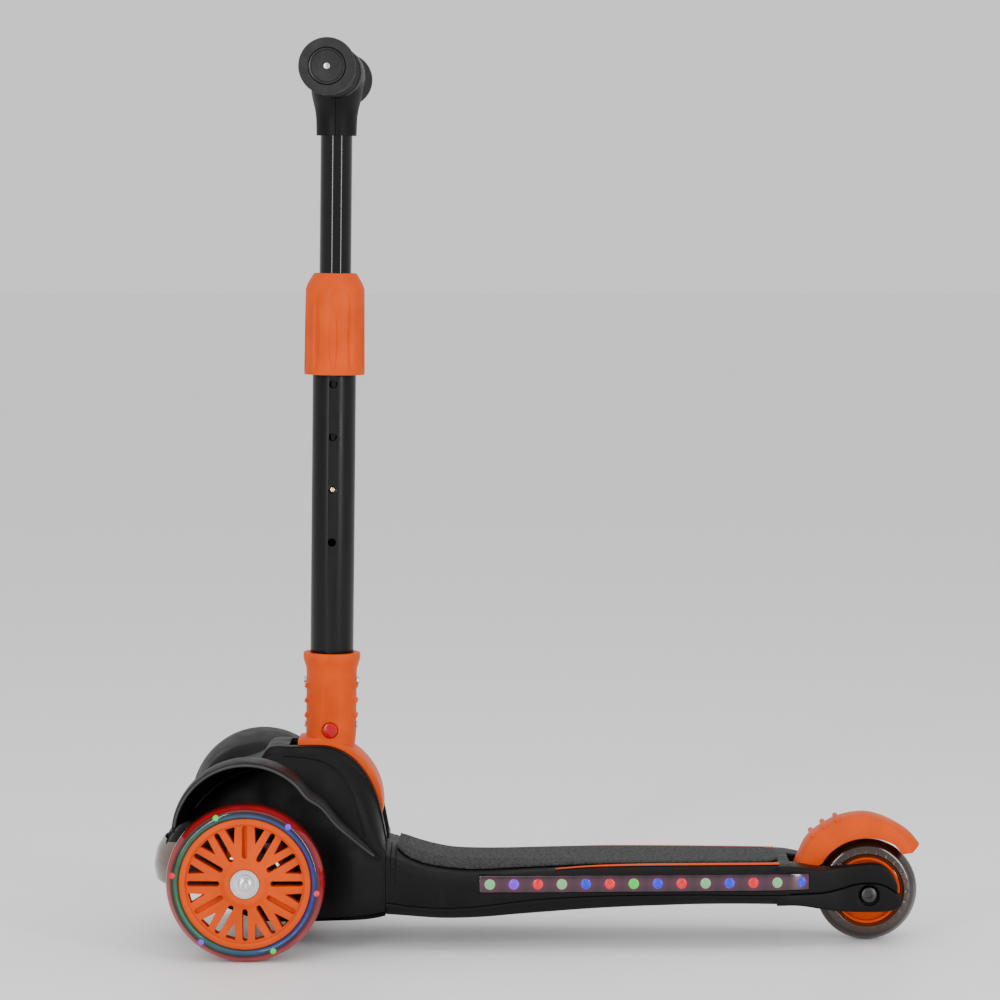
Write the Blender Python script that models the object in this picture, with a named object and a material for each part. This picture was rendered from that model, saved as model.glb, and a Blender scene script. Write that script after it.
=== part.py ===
"""Three-wheel lean-to-steer kick scooter with a folding, height-adjustable T-bar.

Units are metres. +X is forward, +Y is the rider's left, +Z is up.
The origin is on the floor, under the centre of the scooter's bounding box.
"""
import math

import bmesh
import bpy
from mathutils import Matrix, Vector

# ---- Driving dimensions -------------------------------------------------------
GAP = 0.0003                    # clearance between pieces that touch
TRIM_GAP = 0.0008               # clearance where a thin shell is trimmed to a moulding
HALF_LENGTH = 0.3027            # nose and brake tip are this far from the origin

FRONT_AXLE_X = 0.2230
FRONT_WHEEL_R = 0.0610
FRONT_TRACK_HALF = 0.0970       # wheel mid-plane to centre plane
FRONT_WHEEL_WIDTH = 0.0240
HUB_R = 0.0506
HUB_RIM_INNER_R = 0.0457
HUB_BOSS_R = 0.0153
BEARING_R = 0.0110              # 608 bearing, 22 x 8 x 7 mm
BEARING_BORE_R = 0.0040
BEARING_WIDTH = 0.0070
SPOKE_COUNT = 12
LED_COUNT_WHEEL = 6

REAR_AXLE_X = -0.2610
REAR_WHEEL_R = 0.0400
REAR_HUB_R = 0.0262

TRUCK_TILT = math.radians(35.0)  # steering axis leans forward from vertical
WINDOW_HALF_X = 0.0255          # opening in the hull that the axle beam swings in
WINDOW_LOW_Z = 0.0400
WINDOW_HIGH_Z = 0.0830

DECK_FRONT_X = 0.1170
DECK_REAR_X = -0.1985
ARM_END_X = -0.2864
ARM_INNER_Y = 0.0180
WALL = 0.0030
MAT_THICKNESS = 0.0016
LED_COUNT_DECK = 14
LED_PITCH = 0.01865
LED_FIRST_X = 0.0360
LENS_FRONT_X = 0.0440
LENS_REAR_X = -0.2130
LENS_LOW_Z = 0.0462
LENS_HIGH_Z = 0.0592

BRAKE_PIVOT = (-0.2100, 0.0, 0.0520)
BRAKE_HALF_WIDTH = 0.0170
BRAKE_INNER_R = 0.0427

FOLD_PIVOT = (0.1747, 0.0, 0.1076)
STEM_RAKE = math.radians(0.7)   # the T-bar leans back by this much
STEM_X = -0.0120                # T-bar axis, in the stem's frame
KNUCKLE_R = 0.0540
KNUCKLE_STEP_R = 0.0345         # passes inside the strike plate as the T-bar folds
KNUCKLE_HEEL_R = 0.0240         # smaller radius under the pin
KNUCKLE_HALF_WIDTH = 0.0200
CHEEK_INNER_Y = 0.0203
SEAT_R = 0.0392                 # round floor of the hull slot, in front of the pin
SLEEVE_R = 0.0198
SLEEVE_TOP_Z = 0.1204
SLEEVE_FLARE_R = 0.0225
LOWER_TUBE_R = 0.0170
LOWER_TUBE_WALL = 0.0015
LOWER_TUBE_BASE_Z = 0.0800
LOWER_TUBE_TOP_Z = 0.4060
COLLAR_BASE_Z = 0.3394
COLLAR_TOP_Z = 0.4188
COLLAR_BASE_R = 0.0238
COLLAR_SHOULDER_R = 0.0231
COLLAR_TOP_R = 0.0167
HOLE_PITCH = 0.0413
PIN_HOLE_Z = 0.2497             # the hole that the snap button is in
HOLE_R = 0.00325
PIN_R = 0.00275
UPPER_TUBE_R = 0.0125
UPPER_TUBE_BASE_Z = 0.2300
HANDLEBAR_Z = 0.5744
HANDLEBAR_HALF = 0.1500
HANDLEBAR_R = 0.0110
NECK_BASE_Z = 0.5259
HEAD_R = 0.0205
HEAD_HALF_WIDTH = 0.0340
GRIP_FLANGE_R = 0.0214
BUTTON_Z = 0.0604
BUTTON_R = 0.00615
STEM_SCREW_Z = 0.0632
STEM_RIVET_Z = 0.0984
LATCH_ROD_X = 0.0075            # the latch rod passes in front of the fold pin
LATCH_ROD_Y = -0.0060
LATCH_ROD_R = 0.0022
LATCH_TIP_Z = -0.0330

ROUND = 28                      # sides of a large round piece
SMALL_ROUND = 16                # sides of a small one

# ---- Materials: base colour, roughness, metallic ------------------------------
FINISHES = {
    "orange_plastic": ((0.98, 0.14, 0.005, 1.0), 0.38, 0.0),
    "black_plastic": ((0.022, 0.022, 0.024, 1.0), 0.55, 0.0),
    "black_gloss": ((0.010, 0.010, 0.011, 1.0), 0.15, 0.0),
    "black_satin": ((0.016, 0.016, 0.017, 1.0), 0.35, 0.0),
    "black_rubber": ((0.015, 0.015, 0.016, 1.0), 0.75, 0.0),
    "steel": ((0.62, 0.62, 0.64, 1.0), 0.28, 1.0),
    "aluminium": ((0.60, 0.61, 0.63, 1.0), 0.40, 1.0),
    "tyre_clear": ((0.25, 0.16, 0.14, 1.0), 0.25, 0.0),
    "tyre_smoke": ((0.045, 0.022, 0.014, 1.0), 0.22, 0.0),
    "lens": ((0.10, 0.06, 0.10, 1.0), 0.20, 0.0),
    "red_plastic": ((0.75, 0.01, 0.03, 1.0), 0.30, 0.0),
    "led": ((0.90, 0.90, 0.85, 1.0), 0.30, 0.0),
    "nylon": ((0.80, 0.80, 0.76, 1.0), 0.50, 0.0),
    "cell": ((0.05, 0.20, 0.45, 1.0), 0.35, 0.2),
}

# ---- Outline curves: (x, value) pairs, smoothly joined ------------------------
DECK_HALF_WIDTH = ((0.117, 0.0585), (0.070, 0.0590), (0.0, 0.0575), (-0.055, 0.0550),
                   (-0.140, 0.0510), (-0.195, 0.0470), (-0.215, 0.0415), (-0.235, 0.0350),
                   (-0.250, 0.0332), (-0.290, 0.0330))
DECK_EDGE_Z = ((0.117, 0.0745), (0.100, 0.0685), (0.088, 0.0635), (0.066, 0.0600),
               (0.045, 0.0588), (0.0, 0.0620), (-0.055, 0.0652), (-0.210, 0.0655))
DECK_CROWN_Z = ((0.117, 0.0795), (0.105, 0.0765), (0.093, 0.0725), (0.080, 0.0690),
                (0.066, 0.0665), (0.045, 0.0657), (0.020, 0.0657), (-0.210, 0.0657))
DECK_SEAM_Z = ((0.117, 0.0385), (0.088, 0.0350), (0.059, 0.0346), (0.0365, 0.0367),
               (0.0, 0.0410), (-0.050, 0.0435), (-0.120, 0.0440), (-0.175, 0.0431),
               (-0.185, 0.0430), (-0.205, 0.0430))
DECK_BOTTOM_Z = ((0.117, 0.0275), (0.105, 0.0267), (0.074, 0.0247), (0.043, 0.0254),
                 (0.011, 0.0280), (-0.052, 0.0322), (-0.114, 0.0343), (-0.141, 0.0346),
                 (-0.172, 0.0343), (-0.205, 0.0333))
ARM_TOP_Z = ((-0.185, 0.0655), (-0.200, 0.0648), (-0.224, 0.0612), (-0.251, 0.0629),
             (-0.266, 0.0640), (-0.276, 0.0592), (-0.2848, 0.0457))
ARM_SPLIT_Z = ((-0.185, 0.0427), (-0.205, 0.0427), (-0.226, 0.0427), (-0.238, 0.0449),
               (-0.253, 0.0488), (-0.271, 0.0480), (-0.2864, 0.0390))
ARM_BOTTOM_Z = ((-0.185, 0.0338), (-0.205, 0.0333), (-0.234, 0.0277), (-0.2595, 0.0264),
                (-0.280, 0.0276), (-0.2864, 0.0310))

# Hull sections: x, top half-width and height, shoulder half-width and height,
# side half-width and height, and bottom height
HULL_SECTIONS = (
    (0.2900, 0.014, 0.0860, 0.024, 0.0800, 0.028, 0.0660, 0.0500),
    (0.2800, 0.020, 0.1000, 0.034, 0.0920, 0.038, 0.0700, 0.0450),
    (0.2600, 0.024, 0.1240, 0.038, 0.1120, 0.042, 0.0800, 0.0400),
    (0.2400, 0.026, 0.1380, 0.038, 0.1260, 0.044, 0.0850, 0.0295),
    (0.2160, 0.027, 0.1470, 0.038, 0.1350, 0.046, 0.0850, 0.0210),
    (0.2100, 0.028, 0.1555, 0.036, 0.1400, 0.046, 0.0850, 0.0205),
    (0.1900, 0.029, 0.1564, 0.036, 0.1420, 0.048, 0.0850, 0.0205),
    (0.1660, 0.030, 0.1564, 0.037, 0.1400, 0.050, 0.0850, 0.0215),
    (0.1540, 0.030, 0.1532, 0.040, 0.1330, 0.053, 0.0830, 0.0225),
    (0.1430, 0.030, 0.1460, 0.043, 0.1230, 0.055, 0.0810, 0.0232),
    (0.1350, 0.030, 0.1370, 0.045, 0.1120, 0.0565, 0.0790, 0.0240),
    (0.1280, 0.030, 0.1250, 0.047, 0.1000, 0.0575, 0.0775, 0.0250),
    (0.1220, 0.030, 0.1080, 0.048, 0.0890, 0.0580, 0.0760, 0.0262),
    (0.1173, 0.030, 0.0850, 0.048, 0.0790, 0.0585, 0.0740, 0.0275),
)

# Fender: an arch round the wheel, then a tail that sweeps in to the deck
FENDER_CENTRE = (0.2220, 0.0970)
FENDER_R = 0.0582
FENDER_THICKNESS = 0.0028
FENDER_RIM_Y = 0.1060
FENDER_ROOT_Y = 0.0240
FENDER_ARC = (4.0, 146.0)       # degrees from the front, over the top
FENDER_TAIL = ((0.1630, 0.1000, 0.1210), (0.1520, 0.0900, 0.1060), (0.1390, 0.0760, 0.0920),
               (0.1270, 0.0640, 0.0800), (0.1190, 0.0590, 0.0735))

# Rear brake fender, side outline: outer edge from the front foot to the tip
BRAKE_OUTER = ((-0.2035, 0.0600), (-0.2075, 0.0690), (-0.2138, 0.0810), (-0.2265, 0.0915),
               (-0.2400, 0.0980), (-0.2565, 0.1010), (-0.2700, 0.0990), (-0.2830, 0.0935),
               (-0.2946, 0.0860), (-HALF_LENGTH, 0.0766))


# ---- Helpers ------------------------------------------------------------------
def clear_scene():
    for obj in list(bpy.data.objects):
        bpy.data.objects.remove(obj, do_unlink=True)


def make_materials():
    made = {}
    for name, (colour, roughness, metallic) in FINISHES.items():
        mat = bpy.data.materials.new(name)
        mat.use_nodes = True
        shader = mat.node_tree.nodes["Principled BSDF"]
        shader.inputs["Base Color"].default_value = colour
        shader.inputs["Roughness"].default_value = roughness
        shader.inputs["Metallic"].default_value = metallic
        made[name] = mat
    return made


def curve_at(points, x):
    """Read a smooth curve through (x, value) pairs, which run either way in x."""
    ordered = sorted(points)
    if x <= ordered[0][0]:
        return ordered[0][1]
    if x >= ordered[-1][0]:
        return ordered[-1][1]
    last = len(ordered) - 1
    i = max(k for k in range(last) if ordered[k][0] <= x)
    (x0, v0), (x1, v1) = ordered[i], ordered[i + 1]

    def slope(k):
        low, high = ordered[max(k - 1, 0)], ordered[min(k + 1, last)]
        return (high[1] - low[1]) / (high[0] - low[0])

    span = x1 - x0
    t = (x - x0) / span
    start, end = slope(i) * span, slope(i + 1) * span
    return (v0 * (2 * t ** 3 - 3 * t ** 2 + 1) + start * (t ** 3 - 2 * t ** 2 + t)
            + v1 * (3 * t ** 2 - 2 * t ** 3) + end * (t ** 3 - t ** 2))


def spread(start, end, count):
    """Evenly spaced numbers from start to end, both included."""
    return [start + (end - start) * i / (count - 1) for i in range(count)]


def face_outwards(bm, faces):
    """Flip one closed body's faces if they enclose a negative volume."""
    volume = 0.0
    for face in faces:
        corners = [v.co for v in face.verts]
        for a, b in zip(corners[1:-1], corners[2:]):
            volume += corners[0].dot(a.cross(b))
    if volume < 0.0:
        bmesh.ops.reverse_faces(bm, faces=faces)


def add_loft(bm, rings, closed=False):
    """Join rings of points into one body, with flat ends unless it closes on itself."""
    made = [[bm.verts.new(p) for p in ring] for ring in rings]
    faces = []
    pairs = list(zip(made[:-1], made[1:]))
    if closed:
        pairs.append((made[-1], made[0]))
    for a, b in pairs:
        for k in range(len(a)):
            n = (k + 1) % len(a)
            faces.append(bm.faces.new((a[k], a[n], b[n], b[k])))
    if not closed:
        faces.append(bm.faces.new(list(reversed(made[0]))))
        faces.append(bm.faces.new(made[-1]))
    face_outwards(bm, faces)


def add_turned(bm, profile, sides, matrix=Matrix()):
    """Turn a profile of (radius, height) points about Z.

    A profile that starts and ends on the axis gives a solid. Any other is closed
    on itself and gives a ring.
    """
    solid = profile[0][0] == 0.0 and profile[-1][0] == 0.0
    rings = []
    for radius, height in profile:
        if radius == 0.0:
            rings.append([bm.verts.new(matrix @ Vector((0.0, 0.0, height)))])
            continue
        ring = []
        for k in range(sides):
            angle = 2.0 * math.pi * k / sides
            point = Vector((radius * math.cos(angle), radius * math.sin(angle), height))
            ring.append(bm.verts.new(matrix @ point))
        rings.append(ring)
    pairs = list(zip(rings[:-1], rings[1:]))
    if not solid:
        pairs.append((rings[-1], rings[0]))
    faces = []
    for a, b in pairs:
        for k in range(sides):
            n = (k + 1) % sides
            if len(a) == 1:
                faces.append(bm.faces.new((a[0], b[n], b[k])))
            elif len(b) == 1:
                faces.append(bm.faces.new((a[k], a[n], b[0])))
            else:
                faces.append(bm.faces.new((a[k], a[n], b[n], b[k])))
    face_outwards(bm, faces)


def add_rod(bm, radius, low, high, sides=SMALL_ROUND, matrix=Matrix()):
    """A plain cylinder along Z, from low to high."""
    rings = []
    for height in (low, high):
        ring = []
        for k in range(sides):
            angle = 2.0 * math.pi * (k + 0.5) / sides
            point = Vector((radius * math.cos(angle), radius * math.sin(angle), height))
            ring.append(matrix @ point)
        rings.append(ring)
    add_loft(bm, rings)


def add_box(bm, low, high, matrix=Matrix()):
    outline = ((low[0], low[1]), (high[0], low[1]), (high[0], high[1]), (low[0], high[1]))
    add_loft(bm, [[matrix @ Vector((x, y, z)) for x, y in outline] for z in (low[2], high[2])])


def add_plate(bm, outline, low_y, high_y):
    """Extrude an outline of (x, z) points along Y."""
    add_loft(bm, [[Vector((x, y, z)) for x, z in outline] for y in (low_y, high_y)])


def add_coil(bm, radius, wire_r, low, high, turns, matrix=Matrix(), steps=8, sides=3):
    """A round-wire spring about Z."""
    rings = []
    count = turns * steps + 1
    for i in range(count):
        angle = 2.0 * math.pi * i / steps
        height = low + wire_r + (high - low - 2.0 * wire_r) * i / (count - 1)
        out = Vector((math.cos(angle), math.sin(angle), 0.0))
        centre = out * radius + Vector((0.0, 0.0, height))
        ring = []
        for k in range(sides):
            around = 2.0 * math.pi * (k + 0.5) / sides
            offset = out * math.cos(around) + Vector((0.0, 0.0, math.sin(around)))
            ring.append(matrix @ (centre + offset * wire_r))
        rings.append(ring)
    add_loft(bm, rings)


def along_y(x=0.0, y=0.0, z=0.0, sign=1):
    """Turn Z to +Y (or -Y), at a place."""
    return Matrix.Translation((x, y, z)) @ Matrix.Rotation(-sign * math.pi / 2.0, 4, "X")


def along_x(x=0.0, y=0.0, z=0.0, sign=1):
    """Turn Z to +X (or -X), at a place."""
    return Matrix.Translation((x, y, z)) @ Matrix.Rotation(sign * math.pi / 2.0, 4, "Y")


def make_object(name, bm, finish, origin=(0.0, 0.0, 0.0), parent=None, crease=32.0):
    """Turn a bmesh into a named object whose origin is at the given point."""
    bmesh.ops.translate(bm, verts=bm.verts, vec=-Vector(origin))
    mesh = bpy.data.meshes.new(name)
    bm.to_mesh(mesh)
    bm.free()
    mesh.shade_smooth()
    mesh.set_sharp_from_angle(angle=math.radians(crease))
    obj = bpy.data.objects.new(name, mesh)
    bpy.context.scene.collection.objects.link(obj)
    obj.data.materials.append(MATERIALS[finish])
    obj.parent = parent
    obj.location = origin
    return obj


def make_empty(name, location, parent=None, tilt=0.0):
    empty = bpy.data.objects.new(name, None)
    bpy.context.scene.collection.objects.link(empty)
    empty.parent = parent
    empty.location = location
    empty.rotation_euler = (0.0, tilt, 0.0)
    return empty


def combine(target, tool, operation="DIFFERENCE"):
    """Cut a target with a tool, or join the two, by a Boolean."""
    tool.hide_render = True
    tool.display_type = "WIRE"
    modifier = target.modifiers.new(tool.name, "BOOLEAN")
    modifier.operation = operation
    modifier.solver = "EXACT"
    modifier.object = tool


def make_tool(name, bm, parent=None):
    return make_object(name, bm, "nylon", parent=parent)


# ---- Deck ---------------------------------------------------------------------
def deck_stations():
    return spread(DECK_FRONT_X, 0.045, 9) + spread(0.020, -0.190, 7) + [DECK_REAR_X]


def deck_top_ring(x, inset=0.0, low=None):
    """Upper deck section at x, from the centre of the roof round to the other side."""
    half = curve_at(DECK_HALF_WIDTH, x) - inset
    edge = curve_at(DECK_EDGE_Z, x) - inset
    crown = curve_at(DECK_CROWN_Z, x) - inset
    base = curve_at(DECK_SEAM_Z, x) if low is None else low
    side = ((0.026, crown), (0.66 * half, edge + 0.62 * (crown - edge)), (half - 0.005, edge),
            (half - 0.0012, edge - 0.0016), (half, edge - 0.0050), (half, base))
    ring = [Vector((x, y, z)) for y, z in side]
    return ring + [Vector((x, -y, z)) for y, z in reversed(side)]


def arm_stations():
    return spread(-0.1880, ARM_END_X + 0.0034, 14)


def arm_ring(x, side, low, high, inset=0.0):
    """Section of one fork arm at x, from its inner to its outer face."""
    outer = curve_at(DECK_HALF_WIDTH, x) - inset
    inner = ARM_INNER_Y
    bevel = min(0.0020, 0.3 * (high - low))
    points = ((inner, low), (outer - bevel, low), (outer, low + bevel), (outer, high - bevel),
              (outer - bevel, high), (inner, high))
    return [Vector((x, side * y, z)) for y, z in points]


def make_deck_shell():
    """Upper deck moulding: roof, side walls and the upper half of both fork arms."""
    bm = bmesh.new()
    add_loft(bm, [deck_top_ring(x) for x in deck_stations()])
    shell = make_object("deck_shell", bm, "black_plastic")
    for side, label in ((1, "left"), (-1, "right")):
        bm = bmesh.new()
        rings = []
        for x in arm_stations():
            low = curve_at(ARM_SPLIT_Z, x) + GAP
            rings.append(arm_ring(x, side, low, max(curve_at(ARM_TOP_Z, x), low + 0.003)))
        add_loft(bm, rings)
        combine(shell, make_tool("shell_arm_" + label, bm), "UNION")
    bm = bmesh.new()
    add_loft(bm, [deck_top_ring(x, WALL, 0.0200) for x in spread(DECK_FRONT_X - 0.004, -0.184, 14)])
    combine(shell, make_tool("shell_cavity", bm))
    bm = bmesh.new()
    for side in (1, -1):
        add_side_strip(bm, side, -0.0080, 0.0020, LENS_LOW_Z - GAP, LENS_HIGH_Z + GAP, GAP)
    combine(shell, make_tool("shell_lens_windows", bm))
    bm = bmesh.new()
    add_rod(bm, 0.0027, -0.0400, 0.0400, matrix=along_y(*BRAKE_PIVOT))
    add_box(bm, (-0.2200, -0.0178, 0.0660), (-0.1900, 0.0178, 0.0700))
    combine(shell, make_tool("shell_brake_bore", bm))


def add_side_strip(bm, side, inner, outer, low, high, margin=0.0, count=12):
    """A strip that follows the deck's side, between two offsets from its surface."""
    rings = []
    for x in spread(LENS_FRONT_X + margin, LENS_REAR_X - margin, count):
        half = curve_at(DECK_HALF_WIDTH, x)
        points = ((half + inner, low), (half + outer, low), (half + outer, high),
                  (half + inner, high))
        rings.append([Vector((x, side * y, z)) for y, z in points])
    add_loft(bm, rings)


def deck_pan_ring(x):
    half = curve_at(DECK_HALF_WIDTH, x) - 0.0008
    top = curve_at(DECK_SEAM_Z, x) - GAP
    bottom = curve_at(DECK_BOTTOM_Z, x)
    side = ((half, top), (half, top - 0.0035), (half - 0.0050, bottom + 0.0010),
            (half - 0.0090, bottom))
    ring = [Vector((x, y, z)) for y, z in side]
    return ring + [Vector((x, -y, z)) for y, z in reversed(side)]


def make_deck_pan():
    """Lower deck moulding: the pan, with the fork arms that hold the rear axle."""
    bm = bmesh.new()
    add_loft(bm, [deck_pan_ring(x) for x in deck_stations()])
    pan = make_object("deck_pan", bm, "black_plastic")
    for side, label in ((1, "left"), (-1, "right")):
        bm = bmesh.new()
        rings = []
        for x in arm_stations() + [ARM_END_X]:
            rings.append(arm_ring(x, side, curve_at(ARM_BOTTOM_Z, x),
                                  curve_at(ARM_SPLIT_Z, x), 0.0006))
        add_loft(bm, rings)
        combine(pan, make_tool("pan_arm_" + label, bm), "UNION")
    bm = bmesh.new()
    bore = ((0.0, -0.0500), (0.0070, -0.0500), (0.0070, -0.0275), (0.0043, -0.0275),
            (0.0043, 0.0275), (0.0070, 0.0275), (0.0070, 0.0500), (0.0, 0.0500))
    add_turned(bm, bore, SMALL_ROUND, along_y(REAR_AXLE_X, 0.0, REAR_WHEEL_R))
    combine(pan, make_tool("pan_axle_bore", bm))
    bm = bmesh.new()
    rings = []
    for x in spread(0.1080, -0.1820, 12):
        half = curve_at(DECK_HALF_WIDTH, x) - 0.0150
        low = curve_at(DECK_BOTTOM_Z, x) + WALL
        points = ((half, low), (half, 0.0600), (-half, 0.0600), (-half, low))
        rings.append([Vector((x, y, z)) for y, z in points])
    add_loft(bm, rings)
    combine(pan, make_tool("pan_cavity", bm))
    bm = bmesh.new()
    add_box(bm, (-0.1600, -0.0290, 0.0200), (-0.0940, 0.0290, 0.0450))
    add_box(bm, (-0.0700, -0.0075, 0.0200), (-0.0540, 0.0075, 0.0450))
    combine(pan, make_tool("pan_openings", bm))


def deck_top_z(x, y):
    """Height of the deck's roof at a point, before its rounded edge."""
    half = curve_at(DECK_HALF_WIDTH, x)
    edge = curve_at(DECK_EDGE_Z, x)
    crown = curve_at(DECK_CROWN_Z, x)
    knots = ((0.0, crown), (0.026, crown), (0.66 * half, edge + 0.62 * (crown - edge)),
             (half - 0.005, edge))
    for (y0, z0), (y1, z1) in zip(knots[:-1], knots[1:]):
        if abs(y) <= y1:
            return z0 + (z1 - z0) * (abs(y) - y0) / (y1 - y0)
    return edge


def make_deck_mat():
    """Anti-slip mat, flat along its middle and bent down to the deck's edges."""
    rings = []
    for x in deck_stations()[1:-1]:
        half = curve_at(DECK_HALF_WIDTH, x)
        rim = half - 0.0150
        under = [(y, deck_top_z(x, y) + 2.5 * GAP) for y in (rim, 0.66 * half, 0.026)]
        over = [(y, z + MAT_THICKNESS) for y, z in reversed(under)]
        over[-1] = (rim - 0.0006, over[-1][1] - 0.0004)
        lower = [(-y, z) for y, z in reversed(under)]
        upper = [(-y, z) for y, z in reversed(over)]
        rings.append([Vector((x, y, z)) for y, z in under + lower + upper + over])
    bm = bmesh.new()
    add_loft(bm, rings)
    make_object("deck_mat", bm, "black_rubber")


def make_accent_stripes():
    """Thin orange inlays along both edges of the deck, pointed at the front."""
    for side, label in ((1, "left"), (-1, "right")):
        rings = []
        for x in deck_stations()[10:-1]:
            outer = curve_at(DECK_HALF_WIDTH, x) - 0.0062
            width = 0.0010 + 0.0050 * min(1.0, (-0.0150 - x) / 0.0700)
            points = [(outer - width, 0.0), (outer, 0.0), (outer, 0.0007), (outer - width, 0.0007)]
            rings.append([Vector((x, side * y, deck_top_z(x, y) + GAP + lift))
                          for y, lift in points])
        bm = bmesh.new()
        add_loft(bm, rings)
        make_object("accent_stripe_" + label, bm, "orange_plastic")


def make_deck_lights():
    """Side lenses, the light strips behind them, the cells, their door and the switch."""
    for side, label in ((1, "left"), (-1, "right")):
        bm = bmesh.new()
        add_side_strip(bm, side, -0.0030, 0.0, LENS_LOW_Z, LENS_HIGH_Z)
        make_object("light_lens_" + label, bm, "lens")
        bm = bmesh.new()
        rings = []
        for x in spread(LENS_FRONT_X - 0.0040, -0.1820, 10):
            half = curve_at(DECK_HALF_WIDTH, x)
            points = ((half - 0.0074, 0.0490), (half - 0.0062, 0.0490), (half - 0.0062, 0.0565),
                      (half - 0.0074, 0.0565))
            rings.append([Vector((x, side * y, z)) for y, z in points])
        add_loft(bm, rings)
        strip = make_object("led_strip_" + label, bm, "led")
        bm = bmesh.new()
        for i in range(LED_COUNT_DECK - 2):
            x = LED_FIRST_X - i * LED_PITCH
            half = curve_at(DECK_HALF_WIDTH, x)
            low, high = sorted((side * (half - 0.0068), side * (half - 0.0038)))
            add_box(bm, (x - 0.0025, low, 0.0500), (x + 0.0025, high, 0.0550))
        combine(strip, make_tool("strip_lights_" + label, bm), "UNION")
    bm = bmesh.new()
    outline = []
    for i in range(3):
        centre = ((i - 1) * 0.0150, 0.0470)
        outline.append(arc_points(0.0078, 150.0, 30.0, 7, centre))
    top = outline[0] + outline[1] + outline[2]
    under = [(y, 2.0 * 0.0470 - z) for y, z in reversed(top)]
    add_loft(bm, [[Vector((x, y, z)) for y, z in top + under] for x in (-0.1535, -0.1030)])
    make_object("battery_pack", bm, "cell")
    bm = bmesh.new()
    add_box(bm, (-0.1597, -0.0287, 0.0352), (-0.0943, 0.0287, 0.0376))
    make_object("battery_door", bm, "black_plastic")
    bm = bmesh.new()
    add_box(bm, (-0.0696, -0.0071, 0.0330), (-0.0544, 0.0071, 0.0380))
    make_object("light_switch", bm, "black_gloss", origin=(-0.0620, 0.0, 0.0355))


# ---- Front hull, fenders and fold seat ----------------------------------------
def hull_ring(section, grow=0.0):
    x, top_y, top_z, shoulder_y, shoulder_z, side_y, side_z, bottom_z = section
    half = ((top_y - 0.006, top_z), (top_y - 0.001, top_z - 0.0015), (top_y + 0.001, top_z - 0.006),
            (shoulder_y, shoulder_z), (side_y, side_z), (side_y, bottom_z + 0.010),
            (side_y - 0.004, bottom_z + 0.002), (side_y - 0.010, bottom_z))
    ring = []
    for y, z in half:
        ring.append(Vector((x, y + grow, z + (grow if z > bottom_z + 0.012 else -grow))))
    return ring + [Vector((p.x, -p.y, p.z)) for p in reversed(ring)]


def truck_axis(distance=0.0):
    """Frame on the steering axis: Z points up along it."""
    centre = Matrix.Translation((FRONT_AXLE_X, 0.0, FRONT_WHEEL_R))
    return centre @ Matrix.Rotation(TRUCK_TILT, 4, "Y") @ Matrix.Translation((0, 0, distance))


def arc_points(radius, start, end, count, centre=(0.0, 0.0)):
    """Points on an arc in the X-Z plane, angles in degrees from +X towards +Z."""
    return [(centre[0] + radius * math.cos(math.radians(a)),
             centre[1] + radius * math.sin(math.radians(a))) for a in spread(start, end, count)]


def make_front_hull():
    """Boat-shaped nose moulding with the two cheeks that hold the folding knuckle."""
    bm = bmesh.new()
    add_loft(bm, [hull_ring(section) for section in HULL_SECTIONS])
    hull = make_object("front_hull", bm, "black_plastic", crease=40.0)
    pivot = (FOLD_PIVOT[0], FOLD_PIVOT[2])
    outline = [(0.1000, 0.2000), (0.1000, 0.0772), (0.1285, 0.0772)]
    outline += arc_points(KNUCKLE_R + TRIM_GAP, 216.0, 271.0, 10, pivot)
    outline += arc_points(SEAT_R, 271.0, 420.0, 18, pivot)
    outline += [(0.1935, 0.2000)]
    bm = bmesh.new()
    add_plate(bm, outline, -CHEEK_INNER_Y, CHEEK_INNER_Y)
    combine(hull, make_tool("hull_slot", bm))
    bm = bmesh.new()
    add_rod(bm, 0.0043, -0.0273, 0.0273, matrix=along_y(*FOLD_PIVOT))
    combine(hull, make_tool("hull_pin_bore", bm))
    bm = bmesh.new()
    add_box(bm, (FRONT_AXLE_X - WINDOW_HALF_X, -0.0700, WINDOW_LOW_Z),
            (FRONT_AXLE_X + WINDOW_HALF_X, 0.0700, WINDOW_HIGH_Z))
    combine(hull, make_tool("hull_window", bm))
    bm = bmesh.new()
    bore = ((0.0, -0.0700), (0.0095, -0.0700), (0.0095, -0.0340), (0.0053, -0.0340),
            (0.0053, 0.0460), (0.0, 0.0460))
    add_turned(bm, bore, SMALL_ROUND, truck_axis())
    combine(hull, make_tool("hull_truck_bore", bm))


def fender_stations():
    """Rim points of the arch and its tail, front to rear: x, y and z."""
    stations = []
    for x, z in arc_points(FENDER_R, FENDER_ARC[0], FENDER_ARC[1], 14, FENDER_CENTRE):
        stations.append((x, FENDER_RIM_Y, z))
    return stations + list(FENDER_TAIL)


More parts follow.
